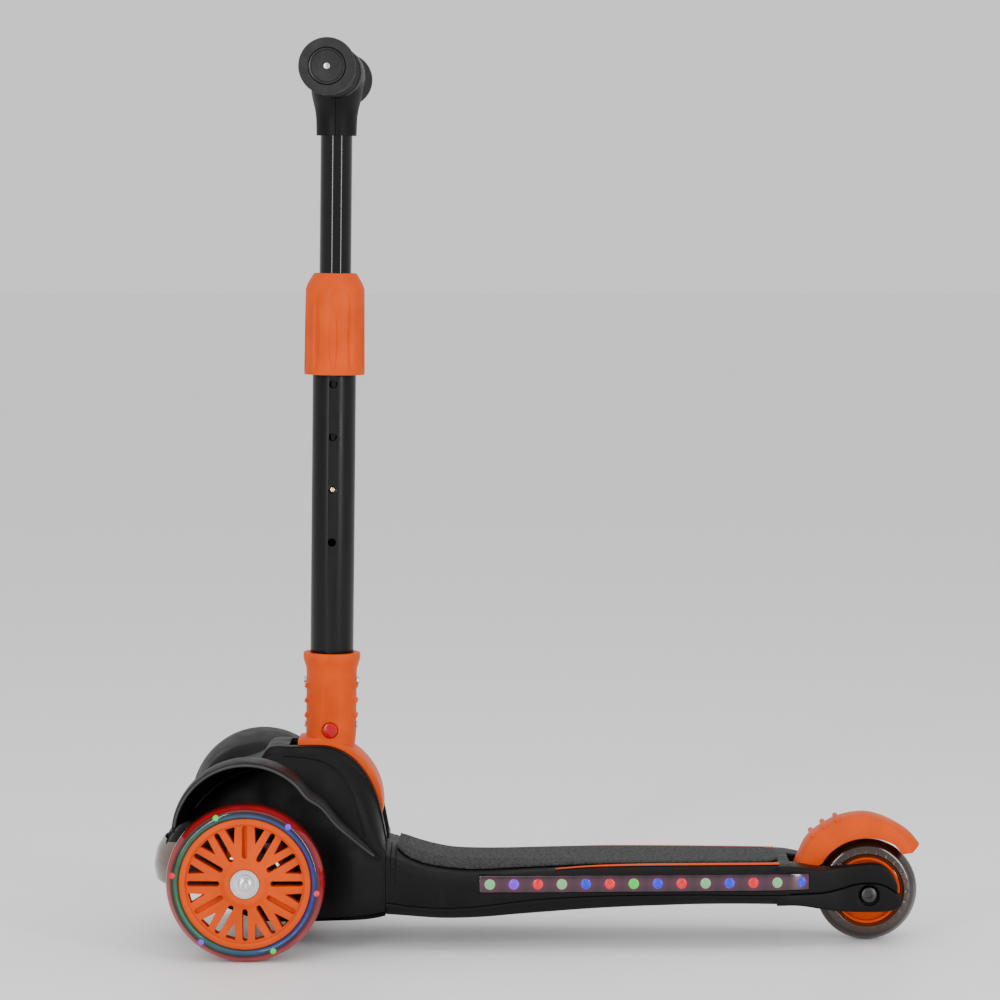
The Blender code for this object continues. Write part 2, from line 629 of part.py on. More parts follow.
def make_fender(side, label):
    """Thin arch over one front wheel, trimmed where it meets the hull."""
    rings = []
    stations = fender_stations()
    last = len(stations) - 1
    for i, (x, rim_y, z) in enumerate(stations):
        before, after = stations[max(i - 1, 0)], stations[min(i + 1, last)]
        along = Vector((after[0] - before[0], after[2] - before[2])).normalized()
        inward = Vector((-along.y, along.x)) * FENDER_THICKNESS
        outer = []
        for share in (0.0, 0.25, 0.5, 0.75, 0.93, 1.0):
            y = FENDER_ROOT_Y + (rim_y - FENDER_ROOT_Y) * share
            drop = 0.0105 * (1.0 - min(1.0, share / 0.75)) ** 1.6 + 0.0012 * max(0.0, share - 0.9) * 10
            pull = Vector((inward.x, inward.y)).normalized() * drop
            outer.append(Vector((x + pull.x, side * y, z + pull.y)))
        inner = [p + Vector((inward.x, 0.0, inward.y)) for p in reversed(outer)]
        rings.append(outer + inner)
    bm = bmesh.new()
    add_loft(bm, rings)
    fender = make_object("fender_" + label, bm, "black_plastic", crease=40.0)
    bm = bmesh.new()
    sections = [tuple(s) for s in HULL_SECTIONS]
    first, end = sections[0], sections[-1]
    sections[0] = (first[0] + 0.0100,) + first[1:]
    sections[-1] = (end[0] - 0.0020,) + end[1:]
    add_loft(bm, [hull_ring(s, TRIM_GAP) for s in sections])
    combine(fender, make_tool("fender_trim_" + label, bm))


def make_nose_lens():
    """Smoky lens that wraps the nose."""
    rings = []
    for y in spread(-0.0400, 0.0400, 9):
        back = 0.0155 * (abs(y) / 0.0400) ** 2.2
        face = HALF_LENGTH - back
        points = ((face - 0.0100, 0.0460), (face - 0.0025, 0.0480), (face, 0.0600),
                  (face - 0.0030, 0.0740), (face - 0.0095, 0.0840), (face - 0.0100, 0.0700))
        rings.append([Vector((x, y, z)) for x, z in points])
    bm = bmesh.new()
    add_loft(bm, rings)
    lens = make_object("nose_lens", bm, "tyre_smoke")
    bm = bmesh.new()
    sections = [(HULL_SECTIONS[0][0] + TRIM_GAP,) + HULL_SECTIONS[0][1:]] + list(HULL_SECTIONS[1:3])
    add_loft(bm, [hull_ring(section, TRIM_GAP) for section in sections])
    combine(lens, make_tool("nose_lens_trim", bm))


def make_fold_seat():
    """Strike plate under the knuckle and the pin that the T-bar folds on."""
    pivot = (FOLD_PIVOT[0], FOLD_PIVOT[2])
    bm = bmesh.new()
    outline = arc_points(0.0350, 271.5, 297.0, 8, pivot) + arc_points(0.0388, 297.0, 271.5, 8, pivot)
    add_plate(bm, outline, -0.0190, 0.0190)
    plate = make_object("strike_plate", bm, "steel")
    bm = bmesh.new()
    notch_x = FOLD_PIVOT[0] + LATCH_ROD_X - LATCH_TIP_Z * math.sin(STEM_RAKE)
    add_box(bm, (notch_x - 0.0034, LATCH_ROD_Y - 0.0034, 0.0600),
            (notch_x + 0.0034, LATCH_ROD_Y + 0.0034, 0.0800))
    combine(plate, make_tool("strike_notch", bm))
    bm = bmesh.new()
    add_rod(bm, 0.0040, -0.0270, 0.0270, matrix=along_y(*FOLD_PIVOT))
    make_object("fold_pin", bm, "steel", origin=FOLD_PIVOT)


# ---- Steering truck and wheels --------------------------------------------------
def make_truck():
    pivot = make_empty("truck_pivot", (FRONT_AXLE_X, 0.0, FRONT_WHEEL_R))
    bm = bmesh.new()
    rings = []
    for y, half_x, half_z in ((-0.0795, 0.0080, 0.0080), (-0.0600, 0.0085, 0.0085),
                              (-0.0200, 0.0110, 0.0098), (0.0200, 0.0110, 0.0098),
                              (0.0600, 0.0085, 0.0085), (0.0795, 0.0080, 0.0080)):
        corner = 0.45
        outline = ((1, corner), (corner, 1), (-corner, 1), (-1, corner), (-1, -corner),
                   (-corner, -1), (corner, -1), (1, -corner))
        rings.append([Vector((u * half_x, y, v * half_z)) for u, v in outline])
    add_loft(bm, rings)
    beam = make_object("axle_beam", bm, "aluminium", parent=pivot)
    local_axis = Matrix.Rotation(TRUCK_TILT, 4, "Y")
    bm = bmesh.new()
    add_rod(bm, 0.0120, -0.0135, 0.0135, 20, local_axis)
    combine(beam, make_tool("beam_boss", bm, pivot), "UNION")
    bm = bmesh.new()
    add_rod(bm, 0.0078, -0.0300, 0.0300, 16, local_axis)
    for side in (1, -1):
        add_rod(bm, 0.0043, 0.0550, 0.0900, matrix=along_y(sign=side))
    combine(beam, make_tool("beam_bores", bm, pivot))
    bm = bmesh.new()
    profile = ((0.0053, -0.0145), (0.0075, -0.0145), (0.0075, 0.0145), (0.0053, 0.0145))
    add_turned(bm, profile, SMALL_ROUND, local_axis)
    make_object("truck_bush", bm, "nylon", parent=pivot)
    for side, label in ((1, "left"), (-1, "right")):
        bm = bmesh.new()
        profile = ((0.0, 0.0580), (0.0040, 0.0580), (0.0040, 0.1077), (0.0072, 0.1077),
                   (0.0072, 0.1085), (0.0056, 0.1086), (0.0050, 0.1108), (0.0, 0.1112))
        add_turned(bm, profile, SMALL_ROUND, along_y(sign=side))
        make_object("front_axle_bolt_" + label, bm, "steel", parent=pivot)
        make_front_wheel(side, label, pivot)
    bm = bmesh.new()
    head = ((0.0, -0.0450), (0.0090, -0.0450), (0.0090, -0.0345), (0.0050, -0.0345),
            (0.0050, 0.0450), (0.0, 0.0450))
    add_turned(bm, head, SMALL_ROUND, truck_axis())
    make_object("truck_pivot_bolt", bm, "steel")


def make_front_wheel(side, label, truck):
    """Tyre, spoked hub, two bearings and the light ring of one front wheel."""
    centre = (0.0, side * FRONT_TRACK_HALF, 0.0)
    turn = along_y(*centre, sign=side)
    half = FRONT_WHEEL_WIDTH / 2.0
    seat = HUB_R + GAP
    tyre = ((seat, -0.0100), (seat, -0.0050), (0.0556, -0.0050), (0.0556, 0.0050), (seat, 0.0050),
            (seat, 0.0100), (0.0535, half), (0.0584, 0.0100), (FRONT_WHEEL_R, 0.0030),
            (FRONT_WHEEL_R, -0.0030), (0.0584, -0.0100), (0.0535, -half))
    bm = bmesh.new()
    add_turned(bm, tyre, 36, turn)
    make_object("front_tyre_" + label, bm, "tyre_clear", origin=centre, parent=truck)
    hub = ((BEARING_R + GAP, -0.0106), (HUB_BOSS_R, -0.0106), (HUB_BOSS_R, -0.0050),
           (HUB_RIM_INNER_R, -0.0050), (HUB_RIM_INNER_R, -0.0098), (HUB_R, -0.0098),
           (HUB_R, 0.0098), (HUB_RIM_INNER_R, 0.0104), (HUB_RIM_INNER_R, 0.0070),
           (HUB_BOSS_R, 0.0070), (HUB_BOSS_R, 0.0106), (BEARING_R + GAP, 0.0106))
    bm = bmesh.new()
    add_turned(bm, hub, 30, turn)
    wheel = make_object("front_hub_" + label, bm, "orange_plastic", origin=centre, parent=truck)
    bm = bmesh.new()
    for i in range(SPOKE_COUNT):
        angle = 2.0 * math.pi * i / SPOKE_COUNT
        spin = turn @ Matrix.Rotation(angle, 4, "Z")
        blind = i % 4 == 3
        add_box(bm, (0.0210, -0.0017, 0.0020 if blind else -0.0200), (0.0445, 0.0017, 0.0200), spin)
        wedge = turn @ Matrix.Rotation(angle + math.pi / SPOKE_COUNT, 4, "Z")
        outline = ((0.0340, 0.0), (0.0442, -0.0040), (0.0442, 0.0040))
        add_loft(bm, [[wedge @ Vector((u, v, w)) for u, v in outline] for w in (-0.02, 0.02)])
    combine(wheel, make_tool("hub_slots_" + label, bm, truck))
    make_bearings("front_bearings_" + label, turn, centre, truck)
    bm = bmesh.new()
    profile = ((seat + 0.0003, -0.0040), (0.0524, -0.0040), (0.0524, 0.0040),
               (seat + 0.0003, 0.0040))
    add_turned(bm, profile, 24, turn)
    ring = make_object("wheel_lights_" + label, bm, "led", origin=centre, parent=truck)
    bm = bmesh.new()
    for i in range(LED_COUNT_WHEEL):
        spin = turn @ Matrix.Rotation(2.0 * math.pi * i / LED_COUNT_WHEEL, 4, "Z")
        add_box(bm, (0.0518, -0.0025, -0.0025), (0.0549, 0.0025, 0.0025), spin)
    combine(ring, make_tool("ring_lights_" + label, bm, truck), "UNION")


def make_bearings(name, turn, centre, parent=None, end=0.0103):
    """Two ball bearings and the spacer tube that joins their inner rings."""
    bore = BEARING_BORE_R + GAP
    inner = end - BEARING_WIDTH
    profile = ((bore, -end), (BEARING_R, -end), (BEARING_R, -inner), (0.0060, -inner),
               (0.0060, inner), (BEARING_R, inner), (BEARING_R, end), (bore, end))
    bm = bmesh.new()
    add_turned(bm, profile, SMALL_ROUND, turn)
    make_object(name, bm, "steel", origin=centre, parent=parent)


def make_rear_wheel():
    centre = (REAR_AXLE_X, 0.0, REAR_WHEEL_R)
    turn = along_y(*centre)
    seat = REAR_HUB_R + GAP
    tyre = ((seat, -0.0100), (seat, 0.0100), (0.0320, 0.0120), (0.0375, 0.0100),
            (REAR_WHEEL_R, 0.0030), (REAR_WHEEL_R, -0.0030), (0.0375, -0.0100), (0.0320, -0.0120))
    bm = bmesh.new()
    add_turned(bm, tyre, 32, turn)
    make_object("rear_tyre", bm, "tyre_smoke", origin=centre)
    hub = ((BEARING_R + GAP, -0.0106), (0.0150, -0.0106), (0.0150, -0.0060), (0.0240, -0.0060),
           (0.0240, -0.0098), (REAR_HUB_R, -0.0098), (REAR_HUB_R, 0.0098), (0.0240, 0.0098),
           (0.0240, 0.0060), (0.0150, 0.0060), (0.0150, 0.0106), (BEARING_R + GAP, 0.0106))
    bm = bmesh.new()
    add_turned(bm, hub, 24, turn)
    make_object("rear_hub", bm, "orange_plastic", origin=centre)
    make_bearings("rear_bearings", turn, centre)
    bm = bmesh.new()
    bolt = ((0.0, -0.0268), (0.0040, -0.0268), (0.0040, 0.0279), (0.0066, 0.0279),
            (0.0066, 0.0305), (0.0045, 0.0320), (0.0, 0.0320))
    add_turned(bm, bolt, SMALL_ROUND, turn)
    make_object("rear_axle_bolt", bm, "steel", origin=centre)
    bm = bmesh.new()
    nut = [Vector((0.0064 * math.cos(math.radians(60 * k)), 0.0064 * math.sin(math.radians(60 * k)), 0.0))
           for k in range(6)]
    low = turn @ Matrix.Translation((0.0, 0.0, -0.0322))
    high = turn @ Matrix.Translation((0.0, 0.0, -0.0279))
    add_loft(bm, [[low @ p for p in nut], [high @ p for p in nut]])
    make_object("rear_axle_nut", bm, "steel", origin=centre)


def make_brake():
    """Foot brake: an arched fender on a cross pin, held up by a torsion spring."""
    axle = (REAR_AXLE_X, REAR_WHEEL_R)
    inner = arc_points(BRAKE_INNER_R, 132.5, 38.0, 13, axle)
    outer = [(x, z) for x, z in BRAKE_OUTER]
    foot = [(-0.2250, 0.0625), (-0.2140, 0.0560), (-0.2140, 0.0478), (-0.2060, 0.0478)]
    outline = outer + inner + foot
    bm = bmesh.new()
    add_plate(bm, outline, -BRAKE_HALF_WIDTH, BRAKE_HALF_WIDTH)
    brake = make_object("brake_fender", bm, "orange_plastic", origin=BRAKE_PIVOT)
    bm = bmesh.new()
    add_rod(bm, 0.0027, -0.0300, 0.0300, matrix=along_y(*BRAKE_PIVOT))
    combine(brake, make_tool("brake_bore", bm))
    bm = bmesh.new()
    add_box(bm, (-0.2165, -0.0060, 0.0440), (-0.2000, 0.0060, 0.0590))
    combine(brake, make_tool("brake_spring_room", bm))
    bm = bmesh.new()
    for x, z in ((-0.2172, 0.0850), (-0.2265, 0.0922), (-0.2368, 0.0972)):
        add_rod(bm, 0.0022, -0.0150, 0.0150, 10, along_y(x, 0.0, z))
    combine(brake, make_tool("brake_ridges", bm), "UNION")
    bm = bmesh.new()
    add_rod(bm, 0.0024, -0.0240, 0.0240, matrix=along_y(*BRAKE_PIVOT))
    make_object("brake_pin", bm, "steel", origin=BRAKE_PIVOT)
    bm = bmesh.new()
    add_coil(bm, 0.0036, 0.0006, -0.0050, 0.0050, 4, along_y(*BRAKE_PIVOT))
    make_object("brake_spring", bm, "steel", origin=BRAKE_PIVOT)


# ---- T-bar: everything below is in the stem's own frame -------------------------
def axis_at(z):
    return Matrix.Translation((STEM_X, 0.0, z))


def make_stem(stem):
    bm = bmesh.new()
    outline = arc_points(KNUCKLE_R, 76.0, 185.0, 18)
    outline += arc_points(KNUCKLE_STEP_R, 185.0, 197.0, 3)
    outline += arc_points(KNUCKLE_HEEL_R, 212.0, 385.0, 14)
    outline += [(0.0215, 0.0180), (0.0131, 0.0440)]
    add_plate(bm, outline, -KNUCKLE_HALF_WIDTH, KNUCKLE_HALF_WIDTH)
    knuckle = make_object("fold_knuckle", bm, "orange_plastic", parent=stem)
    bm = bmesh.new()
    sleeve = ((0.0, 0.0300), (0.0180, 0.0300), (0.0188, 0.0480), (SLEEVE_R, 0.0560),
              (SLEEVE_R, 0.0750),
              (SLEEVE_R, 0.1060), (SLEEVE_FLARE_R - 0.0010, 0.1120), (SLEEVE_FLARE_R, 0.1160),
              (SLEEVE_FLARE_R - 0.0004, SLEEVE_TOP_Z), (0.0, SLEEVE_TOP_Z))
    add_turned(bm, sleeve, ROUND, axis_at(0.0))
    combine(knuckle, make_tool("knuckle_sleeve", bm, stem), "UNION")
    bm = bmesh.new()
    add_rod(bm, LOWER_TUBE_R + GAP, LOWER_TUBE_BASE_Z - GAP, 0.2000, ROUND, axis_at(0.0))
    combine(knuckle, make_tool("knuckle_tube_bore", bm, stem))
    bm = bmesh.new()
    add_box(bm, (STEM_X - 0.0062, -0.0100, 0.0392), (STEM_X + 0.0062, 0.0105, 0.0900))
    combine(knuckle, make_tool("knuckle_latch_room", bm, stem))
    bm = bmesh.new()
    add_box(bm, (-0.0100, LATCH_ROD_Y - 0.0032, 0.0392), (0.0108, LATCH_ROD_Y + 0.0032, 0.0495))
    combine(knuckle, make_tool("knuckle_arm_room", bm, stem))
    bm = bmesh.new()
    add_box(bm, (LATCH_ROD_X - 0.0026, LATCH_ROD_Y - 0.0026, -0.0500),
            (LATCH_ROD_X + 0.0026, LATCH_ROD_Y + 0.0026, 0.0420))
    combine(knuckle, make_tool("knuckle_rod_slot", bm, stem))
    bm = bmesh.new()
    add_rod(bm, 0.0043, -0.0300, 0.0300, matrix=along_y())
    add_rod(bm, BUTTON_R + GAP, 0.0040, 0.0300, 20, along_y(STEM_X, 0.0, BUTTON_Z))
    for sign in (1, -1):
        add_rod(bm, 0.0018, 0.0130, 0.0300, 8, along_x(STEM_X, 0.0, STEM_SCREW_Z, sign))
    add_rod(bm, 0.0018, -0.0300, 0.0300, 8, along_x(STEM_X, 0.0, STEM_RIVET_Z))
    combine(knuckle, make_tool("knuckle_bores", bm, stem))
    make_stem_fasteners(stem)


def make_stem_fasteners(stem):
    """Two screws low in the sleeve, and a rivet right through the sleeve and tube."""
    head = 0.0202
    shank = ((0.0015, head), (0.0032, head), (0.0026, head + 0.0014), (0.0, head + 0.0018))
    for sign, label in ((1, "front"), (-1, "rear")):
        bm = bmesh.new()
        add_turned(bm, ((0.0, 0.0136), (0.0015, 0.0136)) + shank, 10,
                   along_x(STEM_X, 0.0, STEM_SCREW_Z, sign))
        make_object("stem_screw_" + label, bm, "steel", parent=stem)
    mirrored = tuple((radius, -z) for radius, z in reversed(shank))
    bm = bmesh.new()
    add_turned(bm, mirrored + shank, 10, along_x(STEM_X, 0.0, STEM_RIVET_Z))
    make_object("stem_rivet", bm, "steel", parent=stem)


def make_lower_tube(stem):
    inner = LOWER_TUBE_R - LOWER_TUBE_WALL
    bm = bmesh.new()
    profile = ((inner, LOWER_TUBE_BASE_Z), (LOWER_TUBE_R, LOWER_TUBE_BASE_Z),
               (LOWER_TUBE_R, LOWER_TUBE_TOP_Z), (inner, LOWER_TUBE_TOP_Z))
    add_turned(bm, profile, ROUND, axis_at(0.0))
    tube = make_object("lower_tube", bm, "black_satin", parent=stem)
    bm = bmesh.new()
    for k in (-1, 0, 1, 2):
        add_rod(bm, HOLE_R, 0.0060, 0.0300, SMALL_ROUND,
                along_y(STEM_X, 0.0, PIN_HOLE_Z + k * HOLE_PITCH))
    add_rod(bm, 0.0018, -0.0300, 0.0300, 8, along_x(STEM_X, 0.0, STEM_RIVET_Z))
    combine(tube, make_tool("tube_holes", bm, stem))
    bm = bmesh.new()
    collet = ((UPPER_TUBE_R + GAP, 0.3900), (inner - GAP, 0.3900), (inner - GAP, 0.4063),
              (0.0166, 0.4063), (0.0148, 0.4110), (UPPER_TUBE_R + GAP, 0.4110))
    add_turned(bm, collet, ROUND, axis_at(0.0))
    make_object("collet", bm, "nylon", parent=stem)


def make_collar(stem):
    """Fluted clamp collar round the top of the lower tube."""
    bore = LOWER_TUBE_R + GAP
    profile = ((bore, COLLAR_BASE_Z), (COLLAR_BASE_R, COLLAR_BASE_Z),
               (COLLAR_SHOULDER_R, COLLAR_TOP_Z - 0.0125), (0.0215, COLLAR_TOP_Z - 0.0080),
               (COLLAR_TOP_R, COLLAR_TOP_Z), (UPPER_TUBE_R + GAP, COLLAR_TOP_Z),
               (UPPER_TUBE_R + GAP, 0.4135), (bore, 0.4090))
    bm = bmesh.new()
    add_turned(bm, profile, 40, axis_at(0.0))
    collar = make_object("clamp_collar", bm, "orange_plastic", origin=(STEM_X, 0.0, 0.3790),
                         parent=stem)
    bm = bmesh.new()
    for k in range(10):
        angle = 2.0 * math.pi * (k + 0.5) / 10
        out = Vector((math.cos(angle), math.sin(angle), 0.0))
        across = Vector((-out.y, out.x, 0.0))
        rings = []
        for height, half, depth in ((0.3440, 0.0006, 0.0004), (0.3560, 0.0026, 0.0010),
                                    (0.3720, 0.0030, 0.0012), (0.3960, 0.0004, 0.0002)):
            centre = Vector((STEM_X, 0.0, height)) + out * (COLLAR_BASE_R - 0.0003)
            rings.append([centre - across * half + out * 0.004, centre + across * half + out * 0.004,
                          centre - out * depth])
        add_loft(bm, rings)
    combine(collar, make_tool("collar_flutes", bm, stem))


def make_latch(stem):
    """Push button with a 45 degree nose, and the cranked plunger that it lifts."""
    bm = bmesh.new()
    profile = ((0.0, 0.0100), (BUTTON_R, 0.0100), (BUTTON_R, 0.0205), (0.0045, 0.0212),
               (0.0, 0.0216))
    add_turned(bm, profile, 20, along_y(STEM_X, 0.0, BUTTON_Z))
    button = make_object("fold_button", bm, "red_plastic", origin=(STEM_X, 0.0, BUTTON_Z),
                         parent=stem)
    nose = ((0.0050, 0.0590), (0.0106, 0.0646), (0.0106, 0.0575), (0.0050, 0.0575))
    bm = bmesh.new()
    add_loft(bm, [[Vector((x, y, z)) for y, z in nose] for x in (STEM_X - 0.0030, STEM_X + 0.0030)])
    combine(button, make_tool("button_nose", bm, stem), "UNION")
    bm = bmesh.new()
    head = ((-0.0085, 0.0400), (-0.0035, 0.0400), (-0.0035, 0.0514), (0.0043, 0.0592),
            (0.0043, 0.0650), (-0.0085, 0.0650))
    add_loft(bm, [[Vector((x, y, z)) for y, z in head] for x in (STEM_X - 0.0050, STEM_X + 0.0050)])
    plunger = make_object("latch_plunger", bm, "steel", origin=(STEM_X, LATCH_ROD_Y, 0.0),
                          parent=stem)
    bm = bmesh.new()
    add_box(bm, (STEM_X, LATCH_ROD_Y - 0.0023, 0.0402), (0.0097, LATCH_ROD_Y + 0.0023, 0.0448))
    combine(plunger, make_tool("plunger_arm", bm, stem), "UNION")
    bm = bmesh.new()
    add_rod(bm, LATCH_ROD_R, LATCH_TIP_Z, 0.0430, 12,
            Matrix.Translation((LATCH_ROD_X, LATCH_ROD_Y, 0.0)))
    combine(plunger, make_tool("plunger_rod", bm, stem), "UNION")
    bm = bmesh.new()
    add_coil(bm, 0.0040, 0.0006, 0.0654, 0.0790, 4, Matrix.Translation((STEM_X, -0.0020, 0.0)))
    make_object("latch_spring", bm, "steel", parent=stem)


def make_upper_bar(stem):
    inner = UPPER_TUBE_R - 0.0015
    bm = bmesh.new()
    top = HANDLEBAR_Z - HANDLEBAR_R - 0.0010
    profile = ((inner, UPPER_TUBE_BASE_Z), (UPPER_TUBE_R, UPPER_TUBE_BASE_Z),
               (UPPER_TUBE_R, top), (inner, top))
    add_turned(bm, profile, ROUND, axis_at(0.0))
    tube = make_object("upper_tube", bm, "black_gloss", parent=stem)
    bm = bmesh.new()
    add_rod(bm, PIN_R + GAP, 0.0050, 0.0200, SMALL_ROUND, along_y(STEM_X, 0.0, PIN_HOLE_Z))
    combine(tube, make_tool("upper_tube_hole", bm, stem))
    bm = bmesh.new()
    profile = ((UPPER_TUBE_R + GAP, 0.2310), (0.0152, 0.2310), (0.0152, 0.2430),
               (UPPER_TUBE_R + GAP, 0.2430))
    add_turned(bm, profile, ROUND, axis_at(0.0))
    make_object("tube_bush", bm, "nylon", parent=stem)
    bm = bmesh.new()
    profile = ((0.0, 0.0080), (0.0042, 0.0080), (0.0042, 0.0096), (PIN_R, 0.0096),
               (PIN_R, 0.0140), (0.0016, 0.0150), (0.0, 0.0152))
    add_turned(bm, profile, SMALL_ROUND, along_y(STEM_X, 0.0, PIN_HOLE_Z))
    make_object("snap_button", bm, "steel", origin=(STEM_X, 0.0, PIN_HOLE_Z), parent=stem)
    bm = bmesh.new()
    leaf = ((0.0077, 0.0020), (0.0071, 0.0026), (0.0000, -0.0140), (-0.0071, 0.0026),
            (-0.0077, 0.0020), (0.0000, -0.0165))
    add_loft(bm, [[Vector((x, y, PIN_HOLE_Z + z)) for y, z in leaf]
                  for x in (STEM_X - 0.0020, STEM_X + 0.0020)])
    make_object("snap_spring", bm, "steel", parent=stem)


def make_t_head(stem):
    """Two-part clamp head, split across the T-bar."""
    for sign, label in ((1, "front"), (-1, "rear")):
        bm = bmesh.new()
        rings = []
        for z, half_x, half_y in ((NECK_BASE_Z, 0.0157, 0.0157), (0.5400, 0.0163, 0.0170),
                                  (0.5520, 0.0185, 0.0230), (0.5600, 0.0203, 0.0280),
                                  (HANDLEBAR_Z, 0.0203, 0.0300)):
            ring = []
            for k in range(28):
                angle = 2.0 * math.pi * k / 28
                ring.append(Vector((STEM_X + half_x * math.cos(angle), half_y * math.sin(angle), z)))
            rings.append(ring)
        add_loft(bm, rings)
        head = make_object("t_head_" + label, bm, "black_plastic", parent=stem)
        bm = bmesh.new()
        half = HEAD_HALF_WIDTH
        profile = ((0.0, -half), (HEAD_R - 0.003, -half), (HEAD_R, 0.003 - half),
                   (HEAD_R, half - 0.003), (HEAD_R - 0.003, half), (0.0, half))
        add_turned(bm, profile, 28, along_y(STEM_X, 0.0, HANDLEBAR_Z))
        combine(head, make_tool("head_barrel_" + label, bm, stem), "UNION")
        bm = bmesh.new()
        add_rod(bm, HANDLEBAR_R + GAP, -0.0500, 0.0500, 24, along_y(STEM_X, 0.0, HANDLEBAR_Z))
        combine(head, make_tool("head_bar_bore_" + label, bm, stem))
        bm = bmesh.new()
        add_rod(bm, UPPER_TUBE_R + GAP, 0.5000, HANDLEBAR_Z - 0.0080, ROUND, axis_at(0.0))
        combine(head, make_tool("head_tube_bore_" + label, bm, stem))
        bm = bmesh.new()
        near, far = (-0.0500, 0.0002) if sign == 1 else (-0.0002, 0.0500)
        add_box(bm, (STEM_X + near, -0.0600, 0.5000), (STEM_X + far, 0.0600, 0.6200))
        combine(head, make_tool("head_split_" + label, bm, stem))


def make_handlebar(stem):
    bm = bmesh.new()
    half = HANDLEBAR_HALF - 0.0060
    profile = ((0.0095, -half), (HANDLEBAR_R, -half), (HANDLEBAR_R, half), (0.0095, half))
    add_turned(bm, profile, 24, along_y(STEM_X, 0.0, HANDLEBAR_Z))
    make_object("handlebar_tube", bm, "black_satin", parent=stem)
    for side, label in ((1, "left"), (-1, "right")):
        place = along_y(STEM_X, 0.0, HANDLEBAR_Z, side)
        bore = HANDLEBAR_R + GAP
        profile = ((bore, HEAD_HALF_WIDTH + 0.0010), (0.0185, HEAD_HALF_WIDTH + 0.0010),
                   (0.0190, 0.0390), (0.0163, 0.0415), (0.0158, 0.0900), (0.0163, 0.1385),
                   (GRIP_FLANGE_R, 0.1435), (GRIP_FLANGE_R, 0.1480), (0.0200, 0.1492),
                   (0.0142, 0.1492), (0.0142, 0.1450), (bore, 0.1450))
        bm = bmesh.new()
        add_turned(bm, profile, 24, place)
        make_object("grip_" + label, bm, "black_rubber", parent=stem)
        cap = ((0.0, 0.1300), (0.0092, 0.1300), (0.0092, 0.1453), (0.0138, 0.1453),
               (0.0138, 0.1488), (0.0130, 0.1494), (0.0026, 0.1494), (0.0018, HANDLEBAR_HALF),
               (0.0, HANDLEBAR_HALF))
        bm = bmesh.new()
        add_turned(bm, cap, SMALL_ROUND, place)
        make_object("bar_end_cap_" + label, bm, "black_gloss", parent=stem)


def main():
    clear_scene()
    MATERIALS.update(make_materials())
    make_deck_shell()
    make_deck_pan()
    make_deck_mat()
    make_accent_stripes()
    make_deck_lights()
    make_front_hull()
    make_fender(1, "left")
    make_fender(-1, "right")
    make_nose_lens()
    make_fold_seat()
    make_truck()
    make_rear_wheel()
    make_brake()
    stem = make_empty("stem_pivot", FOLD_PIVOT, tilt=-STEM_RAKE)
    make_stem(stem)
    make_lower_tube(stem)
    make_collar(stem)
    make_latch(stem)
    make_upper_bar(stem)
    make_t_head(stem)
    make_handlebar(stem)


MATERIALS = {}
main()
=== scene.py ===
"""Looks of the three-wheel kick scooter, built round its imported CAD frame.

Units are metres. +X is forward, +Y is the rider's left, +Z is up. Every piece is
made at rest in the frame's own coordinates and rides on the CAD body it belongs to.
"""

import math

import bmesh
import bpy
from mathutils import Matrix, Vector
from mathutils.bvhtree import BVHTree


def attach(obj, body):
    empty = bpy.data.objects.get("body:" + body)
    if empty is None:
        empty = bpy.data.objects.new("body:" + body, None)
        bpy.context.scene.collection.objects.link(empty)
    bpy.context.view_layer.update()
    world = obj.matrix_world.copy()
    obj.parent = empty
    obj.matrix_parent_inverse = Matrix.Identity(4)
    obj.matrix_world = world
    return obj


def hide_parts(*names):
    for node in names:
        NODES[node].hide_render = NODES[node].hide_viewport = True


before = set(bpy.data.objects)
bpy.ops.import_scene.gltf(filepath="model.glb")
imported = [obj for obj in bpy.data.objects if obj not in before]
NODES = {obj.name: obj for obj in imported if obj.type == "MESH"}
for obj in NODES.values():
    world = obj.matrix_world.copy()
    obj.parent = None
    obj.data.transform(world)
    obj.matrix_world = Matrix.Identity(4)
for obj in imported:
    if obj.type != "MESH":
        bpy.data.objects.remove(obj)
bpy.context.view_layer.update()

# ---- Dimensions, as in the CAD --------------------------------------------------
GAP = 0.0003
TRIM_GAP = 0.0008
FRONT_AXLE = (0.2230, 0.0, 0.0610)
TRACK_HALF = 0.0970
FRONT_WHEEL_R = 0.0610
HUB_R = 0.0506
HUB_RIM_INNER_R = 0.0457
HUB_BOSS_R = 0.0153
BEARING_R = 0.0110
REAR_AXLE = (-0.2610, 0.0, 0.0400)
REAR_WHEEL_R = 0.0400
REAR_HUB_R = 0.0262
FOLD_PIVOT = (0.1747, 0.0, 0.1076)
STEM_RAKE = math.radians(0.7)
STEM_X = -0.0120
KNUCKLE_R = 0.0540
KNUCKLE_HALF_WIDTH = 0.0200
CHEEK_INNER_Y = 0.0203
SEAT_R = 0.0392
BUTTON_Z = 0.0604
STEM_SCREW_Z = 0.0632
LOWER_TUBE_R = 0.0170
LOWER_TUBE_BASE_Z = 0.0800
LOWER_TUBE_TOP_Z = 0.4060
COLLAR_BASE_Z = 0.3394
COLLAR_TOP_Z = 0.4188
PIN_HOLE_Z = 0.2497
HOLE_PITCH = 0.0413
UPPER_TUBE_R = 0.0125
UPPER_TUBE_BASE_Z = 0.2300
HANDLEBAR_Z = 0.5744
HANDLEBAR_R = 0.0110
NECK_BASE_Z = 0.5259
LED_PITCH = 0.01865
LED_FIRST_X = 0.0360
LENS_FRONT_X = 0.0440
LENS_REAR_X = -0.2130
LENS_LOW_Z = 0.0462
LENS_HIGH_Z = 0.0592
DECK_FRONT_X = 0.1170
DECK_REAR_X = -0.1985
ARM_END_X = -0.2864
ARM_INNER_Y = 0.0180
BRAKE_PIVOT = (-0.2100, 0.0, 0.0520)
